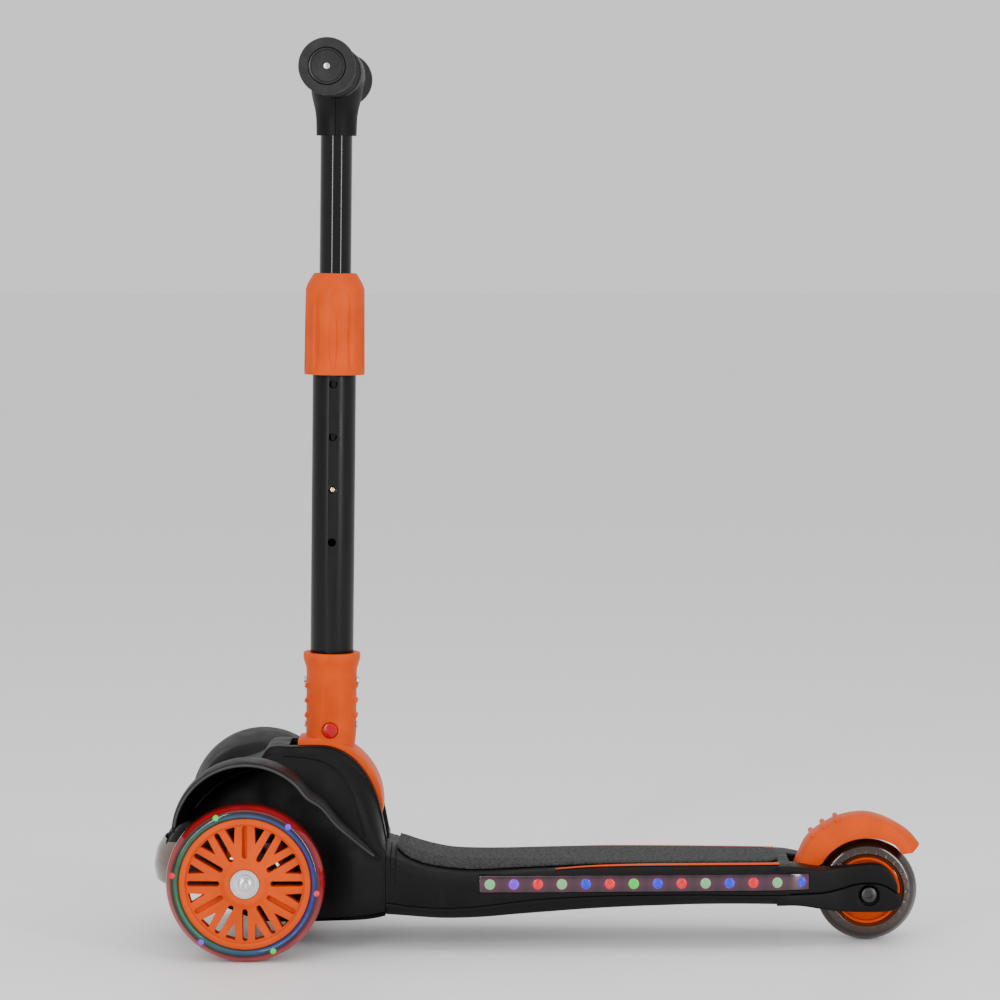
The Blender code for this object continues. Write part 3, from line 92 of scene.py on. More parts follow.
BRAKE_HALF_WIDTH = 0.0170
BRAKE_INNER_R = 0.0427

DECK_HALF_WIDTH = ((0.117, 0.0585), (0.070, 0.0590), (0.0, 0.0575), (-0.055, 0.0550),
                   (-0.140, 0.0510), (-0.195, 0.0470), (-0.215, 0.0415), (-0.235, 0.0350),
                   (-0.250, 0.0332), (-0.290, 0.0330))
DECK_EDGE_Z = ((0.117, 0.0745), (0.100, 0.0685), (0.088, 0.0635), (0.066, 0.0600),
               (0.045, 0.0588), (0.0, 0.0620), (-0.055, 0.0652), (-0.210, 0.0655))
DECK_CROWN_Z = ((0.117, 0.0795), (0.105, 0.0765), (0.093, 0.0725), (0.080, 0.0690),
                (0.066, 0.0665), (0.045, 0.0657), (0.020, 0.0657), (-0.210, 0.0657))
DECK_SEAM_Z = ((0.117, 0.0385), (0.088, 0.0350), (0.059, 0.0346), (0.0365, 0.0367),
               (0.0, 0.0410), (-0.050, 0.0435), (-0.120, 0.0440), (-0.175, 0.0431),
               (-0.185, 0.0430), (-0.205, 0.0430))
DECK_BOTTOM_Z = ((0.117, 0.0275), (0.105, 0.0267), (0.074, 0.0247), (0.043, 0.0254),
                 (0.011, 0.0280), (-0.052, 0.0322), (-0.114, 0.0343), (-0.141, 0.0346),
                 (-0.172, 0.0343), (-0.205, 0.0333))
ARM_TOP_Z = ((-0.185, 0.0655), (-0.200, 0.0648), (-0.224, 0.0612), (-0.251, 0.0629),
             (-0.266, 0.0640), (-0.276, 0.0592), (-0.2848, 0.0457))
ARM_SPLIT_Z = ((-0.185, 0.0427), (-0.205, 0.0427), (-0.226, 0.0427), (-0.238, 0.0449),
               (-0.253, 0.0488), (-0.271, 0.0480), (-0.2864, 0.0390))
ARM_BOTTOM_Z = ((-0.185, 0.0338), (-0.205, 0.0333), (-0.234, 0.0277), (-0.2595, 0.0264),
                (-0.280, 0.0276), (-0.2864, 0.0310))
HULL_SECTIONS = (
    (0.2900, 0.014, 0.0860, 0.024, 0.0800, 0.028, 0.0660, 0.0500),
    (0.2800, 0.020, 0.1000, 0.034, 0.0920, 0.038, 0.0700, 0.0450),
    (0.2600, 0.024, 0.1240, 0.038, 0.1120, 0.042, 0.0800, 0.0400),
    (0.2400, 0.026, 0.1380, 0.038, 0.1260, 0.044, 0.0850, 0.0295),
    (0.2160, 0.027, 0.1470, 0.038, 0.1350, 0.046, 0.0850, 0.0210),
    (0.2100, 0.028, 0.1555, 0.036, 0.1400, 0.046, 0.0850, 0.0205),
    (0.1900, 0.029, 0.1564, 0.036, 0.1420, 0.048, 0.0850, 0.0205),
    (0.1660, 0.030, 0.1564, 0.037, 0.1400, 0.050, 0.0850, 0.0215),
    (0.1540, 0.030, 0.1532, 0.040, 0.1330, 0.053, 0.0830, 0.0225),
    (0.1430, 0.030, 0.1460, 0.043, 0.1230, 0.055, 0.0810, 0.0232),
    (0.1350, 0.030, 0.1370, 0.045, 0.1120, 0.0565, 0.0790, 0.0240),
    (0.1280, 0.030, 0.1250, 0.047, 0.1000, 0.0575, 0.0775, 0.0250),
    (0.1220, 0.030, 0.1080, 0.048, 0.0890, 0.0580, 0.0760, 0.0262),
    (0.1173, 0.030, 0.0850, 0.048, 0.0790, 0.0585, 0.0740, 0.0275),
)
FENDER_CENTRE = (0.2220, 0.0970)
FENDER_R = 0.0582
FENDER_THICKNESS = 0.0028
FENDER_RIM_Y = 0.1060
FENDER_ROOT_Y = 0.0240
FENDER_TAIL = ((0.1630, 0.1000, 0.1210), (0.1520, 0.0900, 0.1060), (0.1390, 0.0760, 0.0920),
               (0.1270, 0.0640, 0.0800), (0.1190, 0.0590, 0.0735))
BRAKE_OUTER = ((-0.2035, 0.0600), (-0.2075, 0.0690), (-0.2138, 0.0810), (-0.2265, 0.0915),
               (-0.2400, 0.0980), (-0.2565, 0.1010), (-0.2700, 0.0990), (-0.2830, 0.0935),
               (-0.2946, 0.0860), (-0.3027, 0.0766))

STUDIO_LEVEL = 0.95              # white studio light from all round

STEM = Matrix.Translation(FOLD_PIVOT) @ Matrix.Rotation(-STEM_RAKE, 4, "Y")
MATERIALS = {}


# ---- Shader helpers -------------------------------------------------------------
class Shader:
    """A Principled material whose details are built from object coordinates."""

    def __init__(self, name, colour, roughness, metallic=0.0, **sockets):
        self.mat = bpy.data.materials.new(name)
        self.mat.use_nodes = True
        self.tree = self.mat.node_tree
        self.bsdf = self.tree.nodes["Principled BSDF"]
        self.set("Base Color", (*colour, 1.0))
        self.set("Roughness", roughness)
        self.set("Metallic", metallic)
        for socket, value in sockets.items():
            self.set(socket.replace("_", " "), value)
        self.coords = self.tree.nodes.new("ShaderNodeTexCoord").outputs["Object"]
        MATERIALS[name] = self.mat

    def set(self, socket, value):
        self.bsdf.inputs[socket].default_value = value

    def link(self, output, socket):
        self.tree.links.new(output, self.bsdf.inputs[socket])

    def node(self, kind, inputs=None, **settings):
        made = self.tree.nodes.new("ShaderNode" + kind)
        for key, value in settings.items():
            setattr(made, key, value)
        for key, value in (inputs or {}).items():
            if isinstance(value, bpy.types.NodeSocket):
                self.tree.links.new(value, made.inputs[key])
            else:
                made.inputs[key].default_value = value
        return made

    def stretched(self, scale):
        return self.node("Mapping", {"Vector": self.coords, "Scale": scale}).outputs["Vector"]

    def noise(self, scale, detail=3.0, vector=None):
        made = self.node("TexNoise", {"Vector": vector or self.coords, "Scale": scale,
                                      "Detail": detail})
        return made.outputs["Fac"]

    def maths(self, operation, a, b=0.0, c=0.0):
        made = self.node("Math", operation=operation)
        for socket, value in zip(made.inputs, (a, b, c)):
            if isinstance(value, bpy.types.NodeSocket):
                self.tree.links.new(value, socket)
            else:
                socket.default_value = value
        return made.outputs[0]

    def ramp(self, factor, stops):
        made = self.node("ValToRGB", {"Fac": factor})
        elements = made.color_ramp.elements
        while len(elements) < len(stops):
            elements.new(0.5)
        for element, (place, colour) in zip(elements, stops):
            element.position = place
            element.color = (*colour, 1.0)
        return made.outputs["Color"]

    def vary_colour(self, colour, spread, scale=60.0):
        low = tuple(c * (1.0 - spread) for c in colour)
        high = tuple(min(1.0, c * (1.0 + spread)) for c in colour)
        self.link(self.ramp(self.noise(scale), ((0.3, low), (0.7, high))), "Base Color")

    def vary_roughness(self, low, high, scale=90.0, vector=None):
        made = self.node("MapRange", {"Value": self.noise(scale, 4.0, vector), "From Min": 0.3,
                                      "From Max": 0.7, "To Min": low, "To Max": high})
        self.link(made.outputs["Result"], "Roughness")

    def bump(self, height, strength, distance):
        made = self.node("Bump", {"Height": height, "Strength": strength, "Distance": distance})
        self.link(made.outputs["Normal"], "Normal")

    def radius(self, centre):
        """Distance from a wheel's axis, which runs along Y."""
        away = self.node("VectorMath", {0: self.coords, 1: centre}, operation="SUBTRACT")
        split = self.node("SeparateXYZ", {"Vector": away.outputs[0]})
        squares = [self.maths("MULTIPLY", split.outputs[k], split.outputs[k]) for k in ("X", "Z")]
        return self.maths("SQRT", self.maths("ADD", *squares)), split


# ---- Materials ------------------------------------------------------------------
def moulded(name, colour, roughness, grain, strength, **sockets):
    """Moulded plastic: a fine grain, slight flow marks and uneven sheen."""
    shader = Shader(name, colour, roughness, **sockets)
    shader.vary_colour(colour, 0.10, 45.0)
    shader.vary_roughness(roughness - 0.06, roughness + 0.08)
    shader.bump(shader.noise(grain, 2.0), strength, 0.0002)


def brushed(name, colour, roughness, stretch):
    shader = Shader(name, colour, roughness, 1.0)
    lines = shader.stretched(stretch)
    shader.vary_roughness(roughness - 0.10, roughness + 0.14, 300.0, lines)
    shader.bump(shader.noise(500.0, 3.0, lines), 0.25, 0.0001)
    shader.vary_colour(colour, 0.08, 80.0)


def painted(name, colour, roughness, peel, strength, **sockets):
    shader = Shader(name, colour, roughness, **sockets)
    shader.vary_roughness(max(0.02, roughness - 0.03), roughness + 0.05, 40.0)
    shader.vary_colour(colour, 0.12, 25.0)
    shader.bump(shader.noise(peel, 1.0), strength, 0.0001)


def make_mat_rubber():
    """Anti-slip surface: packed gravel-like pips, with painted shade darkening the valleys between them."""
    shader = Shader("mat_rubber", (0.02, 0.02, 0.021), 0.8, Specular_IOR_Level=0.3)
    pips = shader.node("TexVoronoi", {"Vector": shader.coords, "Scale": 520.0, "Randomness": 1.0})
    # The colour ramp runs from lighter pip tops down to painted shade in the valleys between pips.
    stops = ((0.0, (0.045, 0.045, 0.048)), (0.6, (0.016, 0.016, 0.017)), (1.0, (0.005, 0.005, 0.0055)))
    shader.link(shader.ramp(pips.outputs["Distance"], stops), "Base Color")
    height = shader.maths("SUBTRACT", 1.0, pips.outputs["Distance"])
    shader.bump(shader.maths("ADD", height, shader.noise(1500.0)), 0.9, 0.0007)
    shader.vary_roughness(0.55, 0.85, 400.0)


def make_grip_rubber():
    shader = Shader("grip_rubber", (0.0075, 0.0075, 0.008), 0.6, Specular_IOR_Level=0.35)
    pores = shader.node("TexVoronoi", {"Vector": shader.coords, "Scale": 900.0})
    shader.bump(pores.outputs["Distance"], 0.35, 0.0002)
    shader.vary_roughness(0.5, 0.72, 120.0)
    shader.vary_colour((0.0075, 0.0075, 0.008), 0.2, 50.0)


def make_front_tyre(name, side):
    """Cast translucent tyre, lit from inside: a red outer band and a cool inner band."""
    centre = (FRONT_AXLE[0], side * TRACK_HALF, FRONT_AXLE[2])
    shader = Shader(name, (0.012, 0.006, 0.006), 0.09, Specular_IOR_Level=0.3, Coat_Weight=0.15)
    shader.set("Coat Roughness", 0.04)
    reach, split = shader.radius(centre)
    band = shader.node("MapRange", {"Value": reach, "From Min": 0.0500, "From Max": 0.0612})
    across = shader.node("MapRange", {"Value": split.outputs["X"], "From Min": -0.055,
                                      "From Max": 0.055})
    cool = shader.ramp(across.outputs[0], ((0.0, (0.01, 0.07, 0.80)), (0.5, (0.01, 0.26, 0.50)),
                                          (1.0, (0.01, 0.48, 0.18))))
    red = (0.95, 0.010, 0.020)
    mix = shader.node("Mix", {"Factor": shader.ramp(band.outputs[0], (
        (0.0, (0, 0, 0)), (0.42, (0, 0, 0)), (0.66, (1, 1, 1)))), "A": cool,
        "B": (*red, 1.0)}, data_type="RGBA")
    shader.link(mix.outputs["Result"], "Emission Color")
    clouds = shader.noise(70.0, 3.0)
    lit = shader.ramp(band.outputs[0], ((0.0, (0.02,) * 3), (0.26, (0.48,) * 3),
                                        (0.48, (0.02,) * 3), (0.80, (0.50,) * 3),
                                        (1.0, (0.06,) * 3)))
    shader.link(shader.maths("MULTIPLY", lit, shader.maths("ADD", clouds, 0.30)),
                "Emission Strength")
    shader.vary_colour((0.012, 0.006, 0.006), 0.3, 60.0)
    shader.vary_roughness(0.07, 0.16, 50.0)
    shader.bump(shader.noise(160.0), 0.06, 0.0002)


def make_smoke_tyre():
    shader = Shader("tyre_smoke", (0.02, 0.010, 0.006), 0.14, Coat_Weight=0.4)
    reach, _ = shader.radius(REAR_AXLE)
    depth = shader.node("MapRange", {"Value": reach, "From Min": 0.026, "From Max": 0.040})
    stops = ((0.0, (0.22, 0.030, 0.001)), (0.22, (0.030, 0.012, 0.006)), (1.0, (0.010, 0.005, 0.003)))
    shader.link(shader.ramp(depth.outputs[0], stops), "Base Color")
    shader.vary_roughness(0.12, 0.24, 60.0)
    shader.bump(shader.noise(180.0), 0.08, 0.0002)


def make_lens_material():
    """Smoky side lens, with the purple-red glow of the lights behind it."""
    shader = Shader("lens", (0.006, 0.003, 0.006), 0.16, Coat_Weight=0.3)
    split = shader.node("SeparateXYZ", {"Vector": shader.coords})
    steps = shader.maths("DIVIDE", shader.maths("SUBTRACT", split.outputs["X"], LED_FIRST_X), LED_PITCH)
    beside = shader.maths("ABSOLUTE", shader.maths("SUBTRACT", steps, shader.maths("ROUND", steps)))
    middle = (LENS_LOW_Z + LENS_HIGH_Z) / 2.0
    above = shader.maths("ABSOLUTE", shader.maths("SUBTRACT", split.outputs["Z"], middle))
    reach = shader.maths("ADD", beside, shader.maths("MULTIPLY", above, 70.0))
    glow = shader.ramp(reach, ((0.0, (0.42, 0.012, 0.10)), (0.40, (0.13, 0.004, 0.045)),
                               (0.95, (0.006, 0.0, 0.005))))
    shader.link(glow, "Emission Color")
    shader.set("Emission Strength", 0.55)
    shader.vary_roughness(0.08, 0.18, 60.0)
    shader.bump(shader.noise(220.0), 0.05, 0.0001)


def make_nose_painted_glow_material():
    # The tan colour is painted light: a painted highlight and orange glow drawn over the black plastic of
    # the body's rounded nose.
    shader = Shader("nose", (0.075, 0.045, 0.028), 0.14, Coat_Weight=0.5)
    shader.vary_colour((0.075, 0.045, 0.028), 0.25, 70.0)
    shader.vary_roughness(0.10, 0.22)
    shader.bump(shader.noise(250.0), 0.06, 0.0001)


def make_light(name, colour, strength):
    """A lit LED, its glow mottled between its colour and a paler tint."""
    shader = Shader(name, tuple(0.35 * c for c in colour), 0.22, Specular_IOR_Level=0.3)
    paler = tuple(0.2 + 0.8 * c for c in colour)
    shader.link(shader.ramp(shader.noise(400.0, 1.0), ((0.40, colour), (1.0, paler))), "Emission Color")
    shader.set("Emission Strength", strength)
    shader.bump(shader.noise(900.0), 0.05, 0.0001)


LIGHT_COLOURS = {"pale_green": (0.22, 0.62, 0.26), "violet": (0.22, 0.03, 0.95),
                 "red": (0.95, 0.006, 0.012), "blue": (0.012, 0.030, 0.95), "green": (0.02, 0.85, 0.06)}


def make_materials():
    moulded("orange", (0.60, 0.060, 0.0), 0.42, 900.0, 0.10, Specular_IOR_Level=0.10)
    moulded("black_plastic", (0.0030, 0.0030, 0.0032), 0.46, 1400.0, 0.30, Specular_IOR_Level=0.14)
    moulded("cap_plastic", (0.006, 0.006, 0.0065), 0.24, 800.0, 0.08)
    # A lighter grey for the fender rims: a painted highlight where light catches the black rim.
    moulded("grey_painted_highlight", (0.022, 0.022, 0.023), 0.38, 1200.0, 0.30)
    moulded("red_button", (0.42, 0.001, 0.006), 0.24, 700.0, 0.05, Specular_IOR_Level=0.2, Coat_Weight=0.1)
    moulded("nylon", (0.78, 0.76, 0.68), 0.48, 1000.0, 0.15)
    moulded("cell", (0.05, 0.20, 0.45), 0.35, 500.0, 0.10)
    painted("black_gloss", (0.002, 0.002, 0.0022), 0.09, 260.0, 0.01, Specular_IOR_Level=0.2,
            Coat_Weight=0.2)
    painted("black_satin", (0.0035, 0.0035, 0.0038), 0.30, 420.0, 0.08, Specular_IOR_Level=0.20)
    brushed("steel", (0.60, 0.60, 0.62), 0.26, (1.0, 12.0, 1.0))
    brushed("dark_steel", (0.05, 0.05, 0.052), 0.34, (1.0, 8.0, 1.0))
    brushed("aluminium", (0.58, 0.59, 0.61), 0.38, (1.0, 10.0, 1.0))
    brushed("brass", (0.83, 0.68, 0.42), 0.24, (8.0, 1.0, 8.0))
    make_mat_rubber()
    make_grip_rubber()
    make_front_tyre("tyre_left", 1)
    make_front_tyre("tyre_right", -1)
    make_smoke_tyre()
    make_lens_material()
    make_nose_painted_glow_material()
    for name, colour in LIGHT_COLOURS.items():
        make_light("light_" + name, colour, 0.62)


# ---- Mesh helpers ---------------------------------------------------------------
def curve_at(points, x):
    """Read a smooth curve through (x, value) pairs, which run either way in x."""
    ordered = sorted(points)
    if x <= ordered[0][0]:
        return ordered[0][1]
    if x >= ordered[-1][0]:
        return ordered[-1][1]
    last = len(ordered) - 1
    i = max(k for k in range(last) if ordered[k][0] <= x)
    (x0, v0), (x1, v1) = ordered[i], ordered[i + 1]

    def slope(k):
        low, high = ordered[max(k - 1, 0)], ordered[min(k + 1, last)]
        return (high[1] - low[1]) / (high[0] - low[0])

    span = x1 - x0
    t = (x - x0) / span
    start, end = slope(i) * span, slope(i + 1) * span
    return (v0 * (2 * t ** 3 - 3 * t ** 2 + 1) + start * (t ** 3 - 2 * t ** 2 + t)
            + v1 * (3 * t ** 2 - 2 * t ** 3) + end * (t ** 3 - t ** 2))


def spread(start, end, count):
    return [start + (end - start) * i / (count - 1) for i in range(count)]


def arc_points(radius, start, end, count, centre=(0.0, 0.0)):
    return [(centre[0] + radius * math.cos(math.radians(a)),
             centre[1] + radius * math.sin(math.radians(a))) for a in spread(start, end, count)]


def smoothed(points, per, closed=False):
    """Points on a Catmull-Rom curve through the given points."""
    points = [Vector(p) for p in points]
    count = len(points)
    out = []
    for i in range(count if closed else count - 1):
        if closed:
            p0, p1, p2, p3 = (points[(i + k) % count] for k in (-1, 0, 1, 2))
        else:
            p0, p1, p2, p3 = (points[min(max(i + k, 0), count - 1)] for k in (-1, 0, 1, 2))
        for step in range(per):
            t = step / per
            out.append(0.5 * (2 * p1 + (p2 - p0) * t + (2 * p0 - 5 * p1 + 4 * p2 - p3) * t * t
                              + (3 * p1 - p0 - 3 * p2 + p3) * t ** 3))
    if not closed:
        out.append(points[-1])
    return out


def rounded(points, radius, steps=4, closed=True):
    """Give each corner of an outline a small round, kept inside its edges."""
    points = [Vector(p) for p in points]
    out = []
    for i, corner in enumerate(points):
        if not closed and i in (0, len(points) - 1):
            out.append(corner)
            continue
        before, after = points[i - 1] - corner, points[(i + 1) % len(points)] - corner
        reach = min(radius, 0.42 * before.length, 0.42 * after.length)
        start, end = corner + before.normalized() * reach, corner + after.normalized() * reach
        for k in range(steps + 1):
            t = k / steps
            out.append((1 - t) ** 2 * start + 2 * t * (1 - t) * corner + t * t * end)
    return out


def face_outwards(bm, faces):
    volume = 0.0
    for face in faces:
        corners = [v.co for v in face.verts]
        for a, b in zip(corners[1:-1], corners[2:]):
            volume += corners[0].dot(a.cross(b))
    if volume < 0.0:
        bmesh.ops.reverse_faces(bm, faces=faces)


def add_loft(bm, rings):
    """A solid through rings of equal counts, with its first and last rings as end faces."""
    made = [[bm.verts.new(p) for p in ring] for ring in rings]
    faces = []
    for a, b in zip(made[:-1], made[1:]):
        for k in range(len(a)):
            n = (k + 1) % len(a)
            faces.append(bm.faces.new((a[k], a[n], b[n], b[k])))
    faces.append(bm.faces.new(list(reversed(made[0]))))
    faces.append(bm.faces.new(made[-1]))
    face_outwards(bm, faces)


def add_turned(bm, profile, sides, matrix=Matrix()):
    """Turn (radius, height) points about Z: a solid from axis to axis, or a ring."""
    solid = profile[0][0] == 0.0 and profile[-1][0] == 0.0
    rings = []
    for radius, height in profile:
        if radius == 0.0:
            rings.append([bm.verts.new(matrix @ Vector((0.0, 0.0, height)))])
            continue
        rings.append([bm.verts.new(matrix @ Vector((radius * math.cos(2.0 * math.pi * k / sides),
                                                    radius * math.sin(2.0 * math.pi * k / sides),
                                                    height))) for k in range(sides)])
    pairs = list(zip(rings[:-1], rings[1:]))
    if not solid:
        pairs.append((rings[-1], rings[0]))
    faces = []
    for a, b in pairs:
        for k in range(sides):
            n = (k + 1) % sides
            if len(a) == 1:
                faces.append(bm.faces.new((a[0], b[n], b[k])))
            elif len(b) == 1:
                faces.append(bm.faces.new((a[k], a[n], b[0])))
            else:
                faces.append(bm.faces.new((a[k], a[n], b[n], b[k])))
    face_outwards(bm, faces)


def add_rod(bm, radius, low, high, sides=48, matrix=Matrix()):
    rings = [[matrix @ Vector((radius * math.cos(2.0 * math.pi * (k + 0.5) / sides),
                               radius * math.sin(2.0 * math.pi * (k + 0.5) / sides), z))
              for k in range(sides)] for z in (low, high)]
    add_loft(bm, rings)


def add_box(bm, low, high, matrix=Matrix()):
    outline = ((low[0], low[1]), (high[0], low[1]), (high[0], high[1]), (low[0], high[1]))
    add_loft(bm, [[matrix @ Vector((x, y, z)) for x, y in outline] for z in (low[2], high[2])])


def add_plate(bm, outline, low_y, high_y, matrix=Matrix()):
    add_loft(bm, [[matrix @ Vector((x, y, z)) for x, z in outline] for y in (low_y, high_y)])


def add_wire(bm, path, radius, sides=8, across=(0.0, 1.0, 0.0)):
    """A round bead that follows a path, which never runs along the across direction."""
    rings = []
    for i, point in enumerate(path):
        along = path[min(i + 1, len(path) - 1)] - path[max(i - 1, 0)]
        side = along.cross(Vector(across)).normalized()
        other = along.cross(side).normalized()
        rings.append([point + radius * (side * math.cos(2 * math.pi * k / sides)
                                        + other * math.sin(2 * math.pi * k / sides))
                      for k in range(sides)])
    add_loft(bm, rings)


def along_y(x=0.0, y=0.0, z=0.0, sign=1):
    return Matrix.Translation((x, y, z)) @ Matrix.Rotation(-sign * math.pi / 2.0, 4, "X")


def along_x(x=0.0, y=0.0, z=0.0, sign=1):
    return Matrix.Translation((x, y, z)) @ Matrix.Rotation(sign * math.pi / 2.0, 4, "Y")


def link_mesh(name, bm):
    mesh = bpy.data.meshes.new(name)
    bm.to_mesh(mesh)
    bm.free()
    obj = bpy.data.objects.new(name, mesh)
    bpy.context.scene.collection.objects.link(obj)
    return obj


def solid(draw):
    """An unnamed working shape, drawn by a function that is given a bmesh."""
    bm = bmesh.new()
    draw(bm)
    return link_mesh("working_shape", bm)


def apply_modifiers(obj):
    evaluated = obj.evaluated_get(bpy.context.evaluated_depsgraph_get())
    mesh = bpy.data.meshes.new_from_object(evaluated)
    obj.modifiers.clear()
    obj.data = mesh


def combine(target, draw, operation="DIFFERENCE"):
    tool = solid(draw)
    modifier = target.modifiers.new("combine", "BOOLEAN")
    modifier.operation = operation
    modifier.solver = "EXACT"
    modifier.object = tool
    apply_modifiers(target)
    bpy.data.objects.remove(tool)


def finish_piece(obj, name, material, body, replaces=(), bevel=0.0, crease=34.0):
    """Soften a piece's edges, give it its material and tie it to its CAD body."""
    obj.name = name
    if bevel:
        modifier = obj.modifiers.new("edges", "BEVEL")
        modifier.width = bevel
        modifier.segments = 2
        modifier.limit_method = "ANGLE"
        modifier.angle_limit = math.radians(crease)
        apply_modifiers(obj)
    obj.data.shade_smooth()
    obj.data.set_sharp_from_angle(angle=math.radians(crease))
    obj.data.materials.clear()
    obj.data.materials.append(MATERIALS[material])
    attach(obj, body)
    if replaces:
        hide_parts(*replaces)
    return obj


def turned_piece(name, profile, material, body, matrix, replaces=(), sides=96, crease=34.0):
    bm = bmesh.new()
    add_turned(bm, profile, sides, matrix)
    return finish_piece(link_mesh(name, bm), name, material, body, replaces, crease=crease)


# ---- Front hull and fenders -----------------------------------------------------
def hull_section(x):
    """Every column of the hull's table, read at x."""
    columns = list(zip(*HULL_SECTIONS))
    return (x,) + tuple(curve_at(list(zip(columns[0], column)), x) for column in columns[1:])


def hull_ring(x, grow=0.0, at=None):
    _, top_y, top_z, shoulder_y, shoulder_z, side_y, side_z, bottom_z = hull_section(x)
    half = ((top_y - 0.006, top_z), (top_y - 0.001, top_z - 0.0015), (top_y + 0.001, top_z - 0.006),
            (shoulder_y, shoulder_z), (side_y, side_z), (side_y, bottom_z + 0.010),
            (side_y - 0.004, bottom_z + 0.002), (side_y - 0.010, bottom_z))
    points = [Vector((x if at is None else at, y + grow,
                      z + (grow if z > bottom_z + 0.012 else -grow))) for y, z in half]
    points += [Vector((p.x, -p.y, p.z)) for p in reversed(points)]
    return smoothed(points, 4, closed=True)


def surface_y(tree, x, z):
    hit = tree.ray_cast(Vector((x, 0.1, z)), Vector((0.0, -1.0, 0.0)))[0]
    return hit.y if hit else None


def make_hull():
    pivot = (FOLD_PIVOT[0], FOLD_PIVOT[2])
    stations = spread(0.2900, 0.1173, 52)
    hull = solid(lambda bm: add_loft(bm, [hull_ring(x) for x in stations]))
    skin = BVHTree.FromObject(hull, bpy.context.evaluated_depsgraph_get())
    slot = [(0.1000, 0.2000), (0.1000, 0.0772), (0.1285, 0.0772)]
    slot += arc_points(KNUCKLE_R + TRIM_GAP, 216.0, 271.0, 24, pivot)
    slot += arc_points(SEAT_R, 271.0, 420.0, 48, pivot) + [(0.1935, 0.2000)]
    combine(hull, lambda bm: add_plate(bm, slot, -CHEEK_INNER_Y, CHEEK_INNER_Y))
    combine(hull, lambda bm: add_rod(bm, 0.0043, -0.0273, 0.0273, 48, along_y(*FOLD_PIVOT)))
    combine(hull, lambda bm: add_box(bm, (FRONT_AXLE[0] - 0.0255, -0.07, 0.0400),
                                     (FRONT_AXLE[0] + 0.0255, 0.07, 0.0830)))
    panel = [(0.1980, 0.1490), (0.1800, 0.1480), (0.1640, 0.1440), (0.1520, 0.1350), (0.1440, 0.1210),
             (0.1380, 0.1040), (0.1330, 0.0880)]
    path = smoothed([(x, 0.0, z) for x, z in panel], 6)
    for side in (1, -1):
        beads = [Vector((p.x, side * surface_y(skin, p.x, p.z), p.z)) for p in path]
        combine(hull, lambda bm: add_wire(bm, beads, 0.0007, 6))
    finish_piece(hull, "hull_moulding", "black_plastic", "chassis", ("front_hull",), 0.0006, 38.0)


def fender_rings():
    """Fine sections of a left fender: the arch, then the tail into the deck."""
    arch = [(x, FENDER_RIM_Y, z) for x, z in arc_points(FENDER_R, 4.0, 146.0, 14, FENDER_CENTRE)]
    path = smoothed(arch + list(FENDER_TAIL), 4)
    rings, rim = [], []
    for i, point in enumerate(path):
        along = path[min(i + 1, len(path) - 1)] - path[max(i - 1, 0)]
        along = Vector((along.x, along.z)).normalized()
        inward = Vector((-along.y, along.x))
        outer = []
        for share in spread(0.0, 1.0, 15):
            y = FENDER_ROOT_Y + (point.y - FENDER_ROOT_Y) * share
            drop = 0.0105 * (1.0 - min(1.0, share / 0.75)) ** 1.6 + 0.012 * max(0.0, share - 0.9)
            z = point.z + inward.y * drop
            sunk = min(z, hull_section(point.x)[2] - 0.0070) if point.x < 0.2900 else z
            root = max(0.0, 1.0 - share / 0.22) ** 1.5
            outer.append(Vector((point.x + inward.x * drop, y, z + (sunk - z) * root)))
        shift = Vector((inward.x, 0.0, inward.y)) * FENDER_THICKNESS
        rings.append(outer + [p + shift for p in reversed(outer)])
        rim.append(outer[-1] + shift * 0.5)
    return rings, rim


def mirrored(points, side):
    return [Vector((p.x, side * p.y, p.z)) for p in points]


def make_fenders():
    rings, rim = fender_rings()
    trim_stations = [0.2900] + spread(0.2850, 0.1173, 40)
    for side, label in ((1, "left"), (-1, "right")):
        fender = solid(lambda bm: add_loft(bm, [mirrored(ring, side) for ring in rings]))
        trim = [hull_ring(0.2900, TRIM_GAP, 0.3000)]
        trim += [hull_ring(x, TRIM_GAP) for x in trim_stations]
        trim += [hull_ring(0.1173, TRIM_GAP, 0.1153)]
        combine(fender, lambda bm: add_loft(bm, trim))
        finish_piece(fender, "fender_arch_" + label, "black_plastic", "chassis",
                     ("fender_" + label,), 0.0005, 40.0)
        # The rim bead's lighter grey is a painted highlight along each fender's edge.
        bead = solid(lambda bm: add_wire(bm, mirrored(rim[2:-3], side), 0.0010, 10))
        finish_piece(bead, "fender_lip_painted_highlight_" + label, "grey_painted_highlight", "chassis")


def make_nose():
    rings = []
    for y in spread(-0.0400, 0.0400, 33):
        face = 0.3027 - 0.0155 * (abs(y) / 0.0400) ** 2.2
        points = ((face - 0.0100, 0.0460), (face - 0.0025, 0.0480), (face, 0.0600),
                  (face - 0.0030, 0.0740), (face - 0.0095, 0.0840), (face - 0.0100, 0.0700))
        rings.append([Vector((x, y, z)) for x, z in rounded([(a, b) for a, b in points], 0.0045, 5)])
    nose = solid(lambda bm: add_loft(bm, rings))
    trim = [hull_ring(0.2900, TRIM_GAP, 0.2908)] + [hull_ring(x, TRIM_GAP) for x in spread(0.289, 0.262, 8)]
    combine(nose, lambda bm: add_loft(bm, trim))
    # The nose's tan material is painted light: highlight and orange glow on the black plastic bumper.
    finish_piece(nose, "nose_bumper_painted_glow", "nose", "chassis", ("nose_lens",), crease=50.0)


